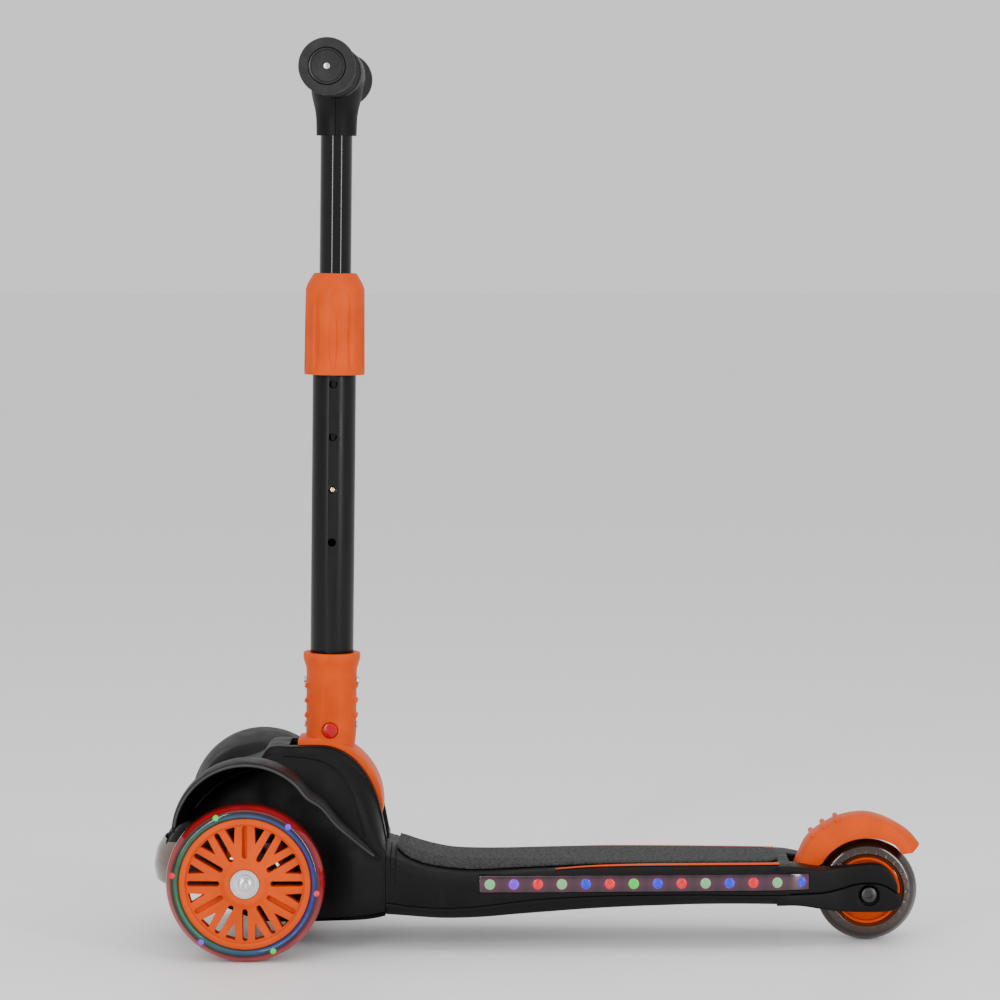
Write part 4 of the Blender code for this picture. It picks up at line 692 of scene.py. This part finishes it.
# ---- Deck -----------------------------------------------------------------------
def deck_ring(x, inset=0.0, low=None):
    half = curve_at(DECK_HALF_WIDTH, x) - inset
    edge = curve_at(DECK_EDGE_Z, x) - inset
    crown = curve_at(DECK_CROWN_Z, x) - inset
    base = curve_at(DECK_SEAM_Z, x) if low is None else low
    side = [(0.0, crown), (0.026, crown), (0.66 * half, edge + 0.62 * (crown - edge)),
            (half - 0.0050, edge), (half, edge - 0.0050), (half, base)]
    side = [tuple(p) for p in rounded(side, 0.0060, 5, closed=False)][1:]
    ring = [Vector((x, y, z)) for y, z in side]
    return ring + [Vector((x, -y, z)) for y, z in reversed(side)]


def arm_ring(x, side, low, high, inset=0.0):
    outer = curve_at(DECK_HALF_WIDTH, x) - inset
    corners = rounded([(ARM_INNER_Y, low), (outer, low), (outer, high), (ARM_INNER_Y, high)],
                      min(0.0022, 0.3 * (high - low)), 4)
    return [Vector((x, side * p.x, p.y)) for p in corners]


def strip_rings(side, inner, outer, low, high, margin=0.0, count=44):
    rings = []
    for x in spread(LENS_FRONT_X + margin, LENS_REAR_X - margin, count):
        half = curve_at(DECK_HALF_WIDTH, x)
        corners = rounded([(half + inner, low), (half + outer, low), (half + outer, high),
                           (half + inner, high)], 0.0008, 3)
        rings.append([Vector((x, side * p.x, p.y)) for p in corners])
    return rings


def make_deck():
    stations = spread(DECK_FRONT_X, DECK_REAR_X, 64)
    arms = spread(-0.1880, ARM_END_X + 0.0034, 36)
    shell = solid(lambda bm: add_loft(bm, [deck_ring(x) for x in stations]))
    pan_rings = []
    for x in stations:
        half, top = curve_at(DECK_HALF_WIDTH, x) - 0.0008, curve_at(DECK_SEAM_Z, x) - GAP
        bottom = curve_at(DECK_BOTTOM_Z, x)
        corners = [(-half, top), (half, top), (half, top - 0.0035), (half - 0.0050, bottom + 0.0010),
                   (half - 0.0090, bottom), (-half + 0.0090, bottom), (-half + 0.0050, bottom + 0.0010),
                   (-half, top - 0.0035)]
        pan_rings.append([Vector((x, p.x, p.y)) for p in rounded(corners, 0.0022, 3)])
    pan = solid(lambda bm: add_loft(bm, pan_rings))
    for side in (1, -1):
        upper, lower = [], []
        for x in arms:
            low = curve_at(ARM_SPLIT_Z, x) + GAP
            upper.append(arm_ring(x, side, low, max(curve_at(ARM_TOP_Z, x), low + 0.003)))
        for x in arms + [ARM_END_X]:
            lower.append(arm_ring(x, side, curve_at(ARM_BOTTOM_Z, x), curve_at(ARM_SPLIT_Z, x), 0.0006))
        combine(shell, lambda bm: add_loft(bm, upper), "UNION")
        combine(pan, lambda bm: add_loft(bm, lower), "UNION")
        window = strip_rings(side, -0.0080, 0.0020, LENS_LOW_Z - GAP, LENS_HIGH_Z + GAP, GAP)
        combine(shell, lambda bm: add_loft(bm, window))
    combine(shell, lambda bm: add_loft(bm, [deck_ring(x, 0.0030, 0.0200)
                                            for x in spread(DECK_FRONT_X - 0.004, -0.184, 30)]))
    combine(shell, lambda bm: add_rod(bm, 0.0027, -0.0400, 0.0400, 32, along_y(*BRAKE_PIVOT)))
    combine(shell, lambda bm: add_box(bm, (-0.2200, -0.0178, 0.0660), (-0.1900, 0.0178, 0.0700)))
    for x in (0.1135, 0.1095):
        combine(shell, lambda bm: add_wire(bm, deck_ring(x), 0.0007, 6, across=(1.0, 0.0, 0.0)))
    finish_piece(shell, "deck_upper", "black_plastic", "chassis", ("deck_shell",), 0.0005)
    axle = along_y(*REAR_AXLE)
    bore = ((0.0, -0.0500), (0.0086, -0.0500), (0.0086, -0.0275), (0.0043, -0.0275),
            (0.0043, 0.0275), (0.0086, 0.0275), (0.0086, 0.0500), (0.0, 0.0500))
    combine(pan, lambda bm: add_turned(bm, bore, 64, axle))
    combine(pan, lambda bm: add_box(bm, (-0.1600, -0.0290, 0.0200), (-0.0940, 0.0290, 0.0450)))
    combine(pan, lambda bm: add_box(bm, (-0.0700, -0.0075, 0.0200), (-0.0540, 0.0075, 0.0450)))
    finish_piece(pan, "deck_lower", "black_plastic", "chassis", ("deck_pan",), 0.0005)


def deck_top_z(x, y):
    half, edge, crown = (curve_at(c, x) for c in (DECK_HALF_WIDTH, DECK_EDGE_Z, DECK_CROWN_Z))
    knots = ((0.0, crown), (0.026, crown), (0.66 * half, edge + 0.62 * (crown - edge)),
             (half - 0.005, edge))
    for (y0, z0), (y1, z1) in zip(knots[:-1], knots[1:]):
        if abs(y) <= y1:
            return z0 + (z1 - z0) * (abs(y) - y0) / (y1 - y0)
    return edge


def make_mat():
    """Grip mat with a rounded rim; its rim narrows at both ends."""
    rings = []
    for x in spread(0.1080, -0.1900, 60):
        rim = curve_at(DECK_HALF_WIDTH, x) - 0.0150
        tuck = 0.012 * max(0.0, 1.0 - (x + 0.1900) / 0.012) ** 2
        tuck += 0.010 * max(0.0, (x - 0.0980) / 0.010) ** 2
        ys = spread(-(rim - tuck), rim - tuck, 25)
        under = [Vector((x, y, deck_top_z(x, y) + 0.00075)) for y in ys]
        over = []
        for y in reversed(ys):
            edge = max(0.0, 1.0 - (rim - tuck - abs(y)) / 0.0014)
            over.append(Vector((x, y, deck_top_z(x, y) + 0.00075 + 0.0016 * (1.0 - 0.45 * edge ** 2))))
        rings.append(under + over)
    mat = solid(lambda bm: add_loft(bm, rings))
    finish_piece(mat, "grip_mat", "mat_rubber", "chassis", ("deck_mat",))


def make_stripes():
    """Orange edge inlays that taper to a narrow point at their front end."""
    for side, label in ((1, "left"), (-1, "right")):
        rings = []
        for x in spread(-0.0150, -0.1900, 40):
            outer = curve_at(DECK_HALF_WIDTH, x) - 0.0062
            width = 0.0006 + 0.0054 * min(1.0, (-0.0150 - x) / 0.0700)
            corners = ((outer - width, 0.0), (outer, 0.0), (outer, 0.0007), (outer - width, 0.0007))
            rings.append([Vector((x, side * y, deck_top_z(x, y) + GAP + lift)) for y, lift in corners])
        stripe = solid(lambda bm: add_loft(bm, rings))
        finish_piece(stripe, "edge_stripe_" + label, "orange", "chassis", ("accent_stripe_" + label,))


DECK_LIGHTS = ("pale_green", "violet", "red", "pale_green", "blue", "red", "green", "blue", "red",
               "pale_green", "blue", "red", "pale_green", "blue")


def make_deck_lights():
    middle = (LENS_LOW_Z + LENS_HIGH_Z) / 2.0
    dome = ((0.0, -0.0012), (0.0042, -0.0012), (0.0041, 0.0001), (0.0034, 0.0005), (0.0018, 0.0008),
            (0.0, 0.0009))
    for side, label in ((1, "left"), (-1, "right")):
        lens = solid(lambda bm: add_loft(bm, strip_rings(side, -0.0030, 0.0, LENS_LOW_Z, LENS_HIGH_Z)))
        finish_piece(lens, "side_lens_" + label, "lens", "chassis", ("light_lens_" + label,), 0.0003)
        for i, colour in enumerate(DECK_LIGHTS):
            x = LED_FIRST_X - i * LED_PITCH
            y = side * curve_at(DECK_HALF_WIDTH, x)
            turned_piece("side_light_%s_%d" % (label, i), dome, "light_" + colour, "chassis",
                         along_y(x, y, middle, side), sides=32)


# ---- Wheels ---------------------------------------------------------------------
def wheel_tyre(seat, wheel_r, half, crown):
    """Tyre section, from the inner bore round the tread."""
    corners = [(seat, -half + 0.002), (seat, half - 0.002), (seat + 0.0025, half),
               (wheel_r - 0.0042, half - 0.0012), (wheel_r - 0.0006, crown + 0.0022),
               (wheel_r, crown), (wheel_r, -crown), (wheel_r - 0.0006, -crown - 0.0022),
               (wheel_r - 0.0042, -half + 0.0012), (seat + 0.0025, -half)]
    return [tuple(p) for p in rounded(corners, 0.0028, 4)]


def make_front_wheels():
    light_order = ("red", "green", "violet", "red", "green", "violet")
    for side, label in ((1, "left"), (-1, "right")):
        body = "front_wheel_" + label
        centre = (FRONT_AXLE[0], side * TRACK_HALF, FRONT_AXLE[2])
        turn = along_y(*centre, sign=side)
        turned_piece("tyre_" + label, wheel_tyre(HUB_R + GAP, FRONT_WHEEL_R, 0.0120, 0.0030),
                     "tyre_" + label, body, turn, ("front_tyre_" + label, "wheel_lights_" + label), 160)
        profile = [(BEARING_R + GAP, -0.0106), (HUB_BOSS_R, -0.0106), (HUB_BOSS_R, -0.0050),
                   (HUB_RIM_INNER_R, -0.0050), (HUB_RIM_INNER_R, -0.0098), (HUB_R, -0.0098),
                   (HUB_R, 0.0098), (HUB_RIM_INNER_R + 0.0014, 0.0106), (HUB_RIM_INNER_R, 0.0100),
                   (HUB_RIM_INNER_R, 0.0070), (HUB_BOSS_R + 0.004, 0.0082), (HUB_BOSS_R, 0.0110),
                   (BEARING_R + GAP, 0.0110)]
        hub = solid(lambda bm: add_turned(bm, [tuple(p) for p in rounded(profile, 0.0008, 3)], 120, turn))

        def cut_slots(bm):
            for i in range(12):
                spin = turn @ Matrix.Rotation(math.pi * i / 6.0, 4, "Z")
                low = 0.0030 if i % 4 == 1 else -0.0200
                slot = arc_points(0.0021, 90.0, 270.0, 8, (0.0215, 0.0))
                slot += arc_points(0.0021, -90.0, 90.0, 8, (0.0425, 0.0))
                add_loft(bm, [[spin @ Vector((u, v, w)) for u, v in slot] for w in (low, 0.0200)])
                wedge = turn @ Matrix.Rotation(math.pi * (i + 0.5) / 6.0, 4, "Z")
                corner = rounded([(0.0315, 0.0), (0.0442, -0.0041), (0.0442, 0.0041)], 0.0008, 4)
                add_loft(bm, [[wedge @ Vector((p.x, p.y, w)) for p in corner] for w in (-0.02, 0.02)])

        combine(hub, cut_slots)
        finish_piece(hub, "spoked_hub_" + label, "orange", body, ("front_hub_" + label,), 0.0004, 40.0)
        bearing = [(0.0043, -0.0103), (0.0110, -0.0103), (0.0110, 0.0103), (0.0098, 0.0103),
                   (0.0096, 0.0099), (0.0066, 0.0099), (0.0064, 0.0103), (0.0043, 0.0103)]
        turned_piece("bearing_" + label, bearing, "steel", body, turn, ("front_bearings_" + label,))
        head = [(0.0, 0.0580), (0.0040, 0.0580), (0.0040, 0.1077), (0.0072, 0.1077), (0.0072, 0.1085),
                (0.0056, 0.1086), (0.0052, 0.1102), (0.0036, 0.1111), (0.0024, 0.1112), (0.0022, 0.1096),
                (0.0, 0.1094)]
        turned_piece("axle_bolt_" + label, head, "steel", "front_truck",
                     along_y(FRONT_AXLE[0], 0.0, FRONT_AXLE[2], side), ("front_axle_bolt_" + label,), 64)
        dome = ((0.0, -0.0018), (0.0025, -0.0016), (0.0024, 0.0), (0.0015, 0.0007), (0.0, 0.0010))
        for i, colour in enumerate(light_order):
            angle = math.radians(7.0 + 60.0 * i)
            place = (centre[0] + 0.0555 * math.cos(angle), centre[1] + side * 0.0114,
                     centre[2] + 0.0555 * math.sin(angle))
            turned_piece("wheel_light_%s_%d" % (label, i), dome, "light_" + colour, body,
                         along_y(*place, sign=side), sides=20)


def make_rear_wheel():
    turn = along_y(*REAR_AXLE)
    section = wheel_tyre(REAR_HUB_R + GAP, REAR_WHEEL_R, 0.0120, 0.0030)
    tyre = solid(lambda bm: add_turned(bm, section, 120, turn))

    def cut_ribs(bm):
        for i in range(24):
            for end in (-1, 1):
                spin = turn @ Matrix.Rotation(2.0 * math.pi * i / 24, 4, "Z")
                low, high = sorted((end * 0.0113, end * 0.0140))
                add_box(bm, (0.0300, -0.0012, low), (0.0368, 0.0012, high), spin)

    combine(tyre, cut_ribs)
    finish_piece(tyre, "rear_tyre_ribbed", "tyre_smoke", "rear_wheel", ("rear_tyre",), 0.0003, 40.0)
    hub = [(BEARING_R + GAP, -0.0106), (0.0150, -0.0106), (0.0150, -0.0060), (0.0240, -0.0060),
           (0.0240, -0.0098), (REAR_HUB_R, -0.0098), (REAR_HUB_R, 0.0098), (0.0240, 0.0098),
           (0.0240, 0.0060), (0.0150, 0.0060), (0.0150, 0.0106), (BEARING_R + GAP, 0.0106)]
    turned_piece("rear_hub_smooth", [tuple(p) for p in rounded(hub, 0.0007, 3)], "orange", "rear_wheel",
                 turn, ("rear_hub",), 96)
    bolt = ((0.0, -0.0268), (0.0040, -0.0268), (0.0040, 0.0279), (0.0066, 0.0279), (0.0066, 0.0300),
            (0.0058, 0.0312), (0.0040, 0.0319), (0.0026, 0.0320), (0.0024, 0.0302), (0.0, 0.0300))
    turned_piece("rear_bolt", bolt, "dark_steel", "chassis", turn, ("rear_axle_bolt",), 64)


def make_brake():
    """Foot brake: a crowned arch with a rounded tip and three tread ridges."""
    axle = (REAR_AXLE[0], REAR_AXLE[2])
    outer = smoothed([(x, z, 0.0) for x, z in BRAKE_OUTER], 6)
    inner = arc_points(BRAKE_INNER_R, 132.5, 38.0, 48, axle)
    foot = [(-0.2250, 0.0625), (-0.2140, 0.0560), (-0.2140, 0.0478), (-0.2060, 0.0478)]
    outline = [(p.x, p.y) for p in outer] + inner + foot
    rings = []
    for y in spread(-BRAKE_HALF_WIDTH, BRAKE_HALF_WIDTH, 21):
        share = abs(y) / BRAKE_HALF_WIDTH
        ring = []
        for k, (x, z) in enumerate(outline):
            away = Vector((x - axle[0], z - axle[1]))
            crown = 0.0028 * share ** 3.2 if k < len(outer) and away.length > 0.050 else 0.0
            tip = max(0.0, (-0.2820 - x) / 0.0207) * 0.0060 * share ** 3
            away = away.normalized()
            ring.append(Vector((x - away.x * (crown + tip), y, z - away.y * (crown + tip))))
        rings.append(ring)
    brake = solid(lambda bm: add_loft(bm, rings))
    combine(brake, lambda bm: add_rod(bm, 0.0027, -0.0300, 0.0300, 32, along_y(*BRAKE_PIVOT)))
    combine(brake, lambda bm: add_box(bm, (-0.2165, -0.0060, 0.0440), (-0.2000, 0.0060, 0.0590)))
    for x, z in ((-0.2180, 0.0843), (-0.2271, 0.0912), (-0.2372, 0.0961)):
        ridge = [tuple(p) for p in rounded([(0.0, -0.0150), (0.0022, -0.0150), (0.0022, 0.0150),
                                            (0.0, 0.0150)], 0.0020, 5, closed=False)]
        combine(brake, lambda bm: add_turned(bm, ridge, 24, along_y(x, 0.0, z)), "UNION")
    finish_piece(brake, "brake_arch", "orange", "brake", ("brake_fender",), 0.0005, 42.0)


# ---- T-bar ----------------------------------------------------------------------
def axis_at(z=0.0):
    return STEM @ Matrix.Translation((STEM_X, 0.0, z))


def make_knuckle():
    outline = arc_points(KNUCKLE_R, 76.0, 185.0, 60) + arc_points(0.0345, 185.0, 197.0, 8)
    outline += arc_points(0.0240, 212.0, 385.0, 40) + [(0.0215, 0.0180), (0.0131, 0.0440)]
    knuckle = solid(lambda bm: add_plate(bm, outline, -KNUCKLE_HALF_WIDTH, KNUCKLE_HALF_WIDTH, STEM))
    sleeve = ((0.0, 0.0300), (0.0180, 0.0300), (0.0188, 0.0480), (0.0196, 0.0540), (0.0198, 0.0600),
              (0.0198, 0.1040), (0.0201, 0.1080), (0.0214, 0.1122), (0.0223, 0.1150), (0.0225, 0.1168),
              (0.0225, 0.1190), (0.0219, 0.1204), (0.0, 0.1204))
    combine(knuckle, lambda bm: add_turned(bm, sleeve, 96, axis_at()), "UNION")
    combine(knuckle, lambda bm: add_rod(bm, LOWER_TUBE_R + GAP, LOWER_TUBE_BASE_Z - GAP, 0.2, 96, axis_at()))
    button = STEM @ along_y(STEM_X, 0.0, BUTTON_Z)
    combine(knuckle, lambda bm: add_rod(bm, 0.0065, 0.0125, 0.0300, 48, button))
    combine(knuckle, lambda bm: add_rod(bm, 0.0043, -0.0300, 0.0300, 40, STEM @ along_y()))
    for height in (0.0705, 0.0822, 0.0939):
        for sign in (1, -1):
            place = STEM @ Matrix.Translation((STEM_X + sign * 0.0193, 0.0, height))
            combine(knuckle, lambda bm: add_rod(bm, 0.0017, -0.0075, 0.0075, 16, place @ along_y()), "UNION")
    finish_piece(knuckle, "knuckle_sleeve", "orange", "stem", ("fold_knuckle",), 0.0004, 40.0)
    dome = ((0.0, 0.0130), (0.0061, 0.0130), (0.0061, 0.0200), (0.0056, 0.0209), (0.0042, 0.0214),
            (0.0, 0.0216))
    turned_piece("button_dome", dome, "red_button", "fold_button", button, ("fold_button",), 48)
    head = ((0.0, 0.0136), (0.0015, 0.0136), (0.0015, 0.0202), (0.0032, 0.0202), (0.0031, 0.0205),
            (0.0024, 0.0210), (0.0014, 0.0212), (0.0, 0.0212))
    for sign, label in ((1, "front"), (-1, "rear")):
        turned_piece("sleeve_screw_" + label, head, "steel", "stem",
                     STEM @ along_x(STEM_X, 0.0, STEM_SCREW_Z, sign), ("stem_screw_" + label,), 32)


def make_tubes():
    inner = LOWER_TUBE_R - 0.0015
    profile = ((inner, LOWER_TUBE_BASE_Z), (LOWER_TUBE_R, LOWER_TUBE_BASE_Z),
               (LOWER_TUBE_R, LOWER_TUBE_TOP_Z), (inner, LOWER_TUBE_TOP_Z))
    tube = solid(lambda bm: add_turned(bm, profile, 120, axis_at()))
    for k in (-1, 0, 1, 2):
        hole = STEM @ along_y(STEM_X, 0.0, PIN_HOLE_Z + k * HOLE_PITCH)
        combine(tube, lambda bm: add_rod(bm, 0.00325, 0.0060, 0.0300, 40, hole))
    finish_piece(tube, "lower_tube_round", "black_satin", "stem", ("lower_tube",), 0.0002, 40.0)
    top = HANDLEBAR_Z - HANDLEBAR_R - 0.0010
    wall = UPPER_TUBE_R - 0.0015
    profile = ((wall, UPPER_TUBE_BASE_Z), (UPPER_TUBE_R, UPPER_TUBE_BASE_Z), (UPPER_TUBE_R, top),
               (wall, top))
    upper = solid(lambda bm: add_turned(bm, profile, 120, axis_at()))
    pin_hole = STEM @ along_y(STEM_X, 0.0, PIN_HOLE_Z)
    combine(upper, lambda bm: add_rod(bm, 0.00305, 0.0050, 0.0200, 40, pin_hole))
    finish_piece(upper, "upper_tube_round", "black_gloss", "upper_bar", ("upper_tube",))
    pin = ((0.0, 0.0080), (0.0042, 0.0080), (0.0042, 0.0096), (0.00275, 0.0096), (0.00275, 0.0140),
           (0.0022, 0.0148), (0.0012, 0.0152), (0.0, 0.0152))
    turned_piece("snap_pin", pin, "brass", "snap_button", pin_hole, ("snap_button",), 40)


def make_collar():
    bore = LOWER_TUBE_R + GAP
    corners = [(bore, COLLAR_BASE_Z), (0.0238, COLLAR_BASE_Z), (0.0231, COLLAR_TOP_Z - 0.0125),
               (0.0215, COLLAR_TOP_Z - 0.0080), (0.0167, COLLAR_TOP_Z), (UPPER_TUBE_R + GAP, COLLAR_TOP_Z),
               (UPPER_TUBE_R + GAP, 0.4135), (bore, 0.4090)]
    profile = [tuple(p) for p in rounded(corners, 0.0008, 3)]
    collar = solid(lambda bm: add_turned(bm, profile, 160, axis_at()))

    def cut_flutes(bm):
        for k in range(10):
            angle = 2.0 * math.pi * (k + 0.5) / 10
            out = Vector((math.cos(angle), math.sin(angle), 0.0))
            across = Vector((-out.y, out.x, 0.0))
            rings = []
            for t in spread(0.0, 1.0, 15):
                swell = math.sin(math.pi * (0.04 + 0.92 * t ** 0.8)) ** 0.7
                centre = Vector((STEM_X, 0.0, 0.3435 + 0.0530 * t)) + out * 0.0236
                half, depth = 0.0036 * swell, 0.0016 * swell
                section = [centre + across * half + out * 0.004, centre - across * half + out * 0.004]
                section += [centre - across * half * math.cos(a) - out * depth * math.sin(a)
                            for a in spread(0.0, math.pi, 9)]
                rings.append([STEM @ p for p in section])
            add_loft(bm, rings)

    combine(collar, cut_flutes)
    finish_piece(collar, "collar_fluted", "orange", "clamp_collar", ("clamp_collar",), 0.0002, 40.0)


def make_t_head():
    """Clamp head in two halves: a flared neck under a short barrel."""
    neck = ((NECK_BASE_Z, 0.0157, 0.0157), (0.5300, 0.0158, 0.0158), (0.5400, 0.0162, 0.0168),
            (0.5470, 0.0172, 0.0195), (0.5520, 0.0185, 0.0230), (0.5600, 0.0200, 0.0278),
            (HANDLEBAR_Z, 0.0203, 0.0300))
    for sign, label in ((1, "front"), (-1, "rear")):
        rings = []
        for z in spread(NECK_BASE_Z, HANDLEBAR_Z, 22):
            half_x = curve_at([(a, b) for a, b, _ in neck], z)
            half_y = curve_at([(a, c) for a, _, c in neck], z)
            rings.append([STEM @ Vector((STEM_X + half_x * math.cos(a), half_y * math.sin(a), z))
                          for a in spread(0.0, 2.0 * math.pi, 65)[:-1]])
        head = solid(lambda bm: add_loft(bm, rings))
        place = STEM @ along_y(STEM_X, 0.0, HANDLEBAR_Z)
        barrel = [(0.0, -0.0340), (0.0175, -0.0340), (0.0198, -0.0330), (0.0205, -0.0308),
                  (0.0205, 0.0308), (0.0198, 0.0330), (0.0175, 0.0340), (0.0, 0.0340)]
        combine(head, lambda bm: add_turned(bm, barrel, 96, place), "UNION")
        combine(head, lambda bm: add_rod(bm, HANDLEBAR_R + GAP, -0.0500, 0.0500, 72, place))
        combine(head, lambda bm: add_rod(bm, UPPER_TUBE_R + GAP, 0.5, HANDLEBAR_Z - 0.0080, 96, axis_at()))
        near, far = (-0.0500, 0.0002) if sign == 1 else (-0.0002, 0.0500)
        combine(head, lambda bm: add_box(bm, (STEM_X + near, -0.06, 0.5), (STEM_X + far, 0.06, 0.62), STEM))
        finish_piece(head, "clamp_head_" + label, "black_plastic", "upper_bar", ("t_head_" + label,),
                     0.0005, 40.0)


def grip_profile():
    """Grip section with fine rings between its two flanges."""
    points = [(0.0113, 0.0350), (0.0185, 0.0350), (0.0190, 0.0362), (0.0190, 0.0388), (0.0166, 0.0412)]
    for z in spread(0.0430, 0.1370, 48):
        waist = 0.0005 * math.cos(math.pi * (z - 0.09) / 0.0485)
        points += [(0.0158 - waist, z), (0.0164 - waist, z + 0.0005), (0.0164 - waist, z + 0.0012)]
    return points + [(0.0172, 0.1395), (0.0208, 0.1425), (0.0214, 0.1440), (0.0214, 0.1474),
                     (0.0208, 0.1488), (0.0200, 0.1492), (0.0142, 0.1492), (0.0142, 0.1450),
                     (0.0113, 0.1450)]


def make_handlebar():
    for side, label in ((1, "left"), (-1, "right")):
        place = STEM @ along_y(STEM_X, 0.0, HANDLEBAR_Z, side)
        turned_piece("grip_ringed_" + label, grip_profile(), "grip_rubber", "upper_bar", place,
                     ("grip_" + label,), 96, 28.0)
        cap = ((0.0, 0.1300), (0.0092, 0.1300), (0.0092, 0.1453), (0.0138, 0.1453), (0.0138, 0.1486),
               (0.0134, 0.1492), (0.0126, 0.1493), (0.0124, 0.1487), (0.0118, 0.1487), (0.0115, 0.1493),
               (0.0030, 0.1494), (0.0, 0.1494))
        turned_piece("bar_plug_" + label, cap, "cap_plastic", "upper_bar", place,
                     ("bar_end_cap_" + label,), 64, 28.0)
        screw = ((0.0, 0.1484), (0.0023, 0.1484), (0.0022, 0.1497), (0.0012, 0.1500), (0.0, 0.1500))
        turned_piece("bar_end_screw_" + label, screw, "steel", "upper_bar", place, sides=24)


# ---- Carried-over nodes, stage, camera and light --------------------------------
CARRIED = {
    "black_plastic": ("battery_door", "light_switch"),
    "steel": ("strike_plate", "fold_pin", "truck_pivot_bolt", "rear_axle_nut", "brake_pin", "brake_spring",
              "rear_bearings", "stem_rivet", "latch_plunger", "latch_spring", "snap_spring"),
    "aluminium": ("axle_beam",),
    "nylon": ("truck_bush", "collet", "tube_bush"),
    "black_satin": ("handlebar_tube",),
    "cell": ("battery_pack",),
    "light_pale_green": ("led_strip_left", "led_strip_right"),
}


def finish_carried_nodes():
    for material, names in CARRIED.items():
        for name in names:
            NODES[name].data.materials.clear()
            NODES[name].data.materials.append(MATERIALS[material])


def make_stage():
    shader = Shader("floor", (0.93, 0.93, 0.93), 0.42)
    shader.vary_roughness(0.36, 0.50, 6.0)
    floor = solid(lambda bm: add_loft(bm, [[Vector((x, y, z)) for x, y in (
        (-25.0, -25.0), (25.0, -25.0), (25.0, 25.0), (-25.0, 25.0))] for z in (-0.0210, -0.0002)]))
    floor.name = "floor"
    floor.data.materials.append(shader.mat)


def add_area_light(name, place, target, size, power):
    light = bpy.data.lights.new(name, "AREA")
    light.shape = "RECTANGLE"
    light.size, light.size_y = size
    light.energy = power
    obj = bpy.data.objects.new(name, light)
    bpy.context.scene.collection.objects.link(obj)
    obj.location = place
    obj.rotation_euler = (Vector(target) - Vector(place)).to_track_quat("-Z", "Y").to_euler()


def make_light_and_camera():
    middle = (0.0, 0.0, 0.35)
    for name, angle in (("strip_left", 27.0), ("strip_right", -38.0)):
        turn = math.radians(angle)
        place = (2.2 * math.sin(turn), 2.2 * math.cos(turn), 0.85)
        add_area_light(name, place, middle, (0.16, 1.7), 22.0)
    add_area_light("overhead", (0.0, 0.3, 2.2), middle, (2.2, 2.2), 18.0)
    world = bpy.data.worlds.new("studio")
    world.use_nodes = True
    tree = world.node_tree
    tree.nodes["Background"].inputs["Color"].default_value = (1.0, 1.0, 1.0, 1.0)
    tree.nodes["Background"].inputs["Strength"].default_value = STUDIO_LEVEL
    bpy.context.scene.world = world
    camera = bpy.data.cameras.new("camera")
    camera.lens, camera.sensor_width = 137.7, 36.0
    obj = bpy.data.objects.new("camera", camera)
    bpy.context.scene.collection.objects.link(obj)
    obj.location = (0.002, 3.0, 0.571)
    obj.rotation_euler = (Vector((0.0286, 0.0, 0.348)) - obj.location).to_track_quat("-Z", "Y").to_euler()
    bpy.context.scene.camera = obj


make_materials()
make_hull()
make_fenders()
make_nose()
make_deck()
make_mat()
make_stripes()
make_deck_lights()
make_front_wheels()
make_rear_wheel()
make_brake()
make_knuckle()
make_tubes()
make_collar()
make_t_head()
make_handlebar()
finish_carried_nodes()
make_stage()
make_light_and_camera()
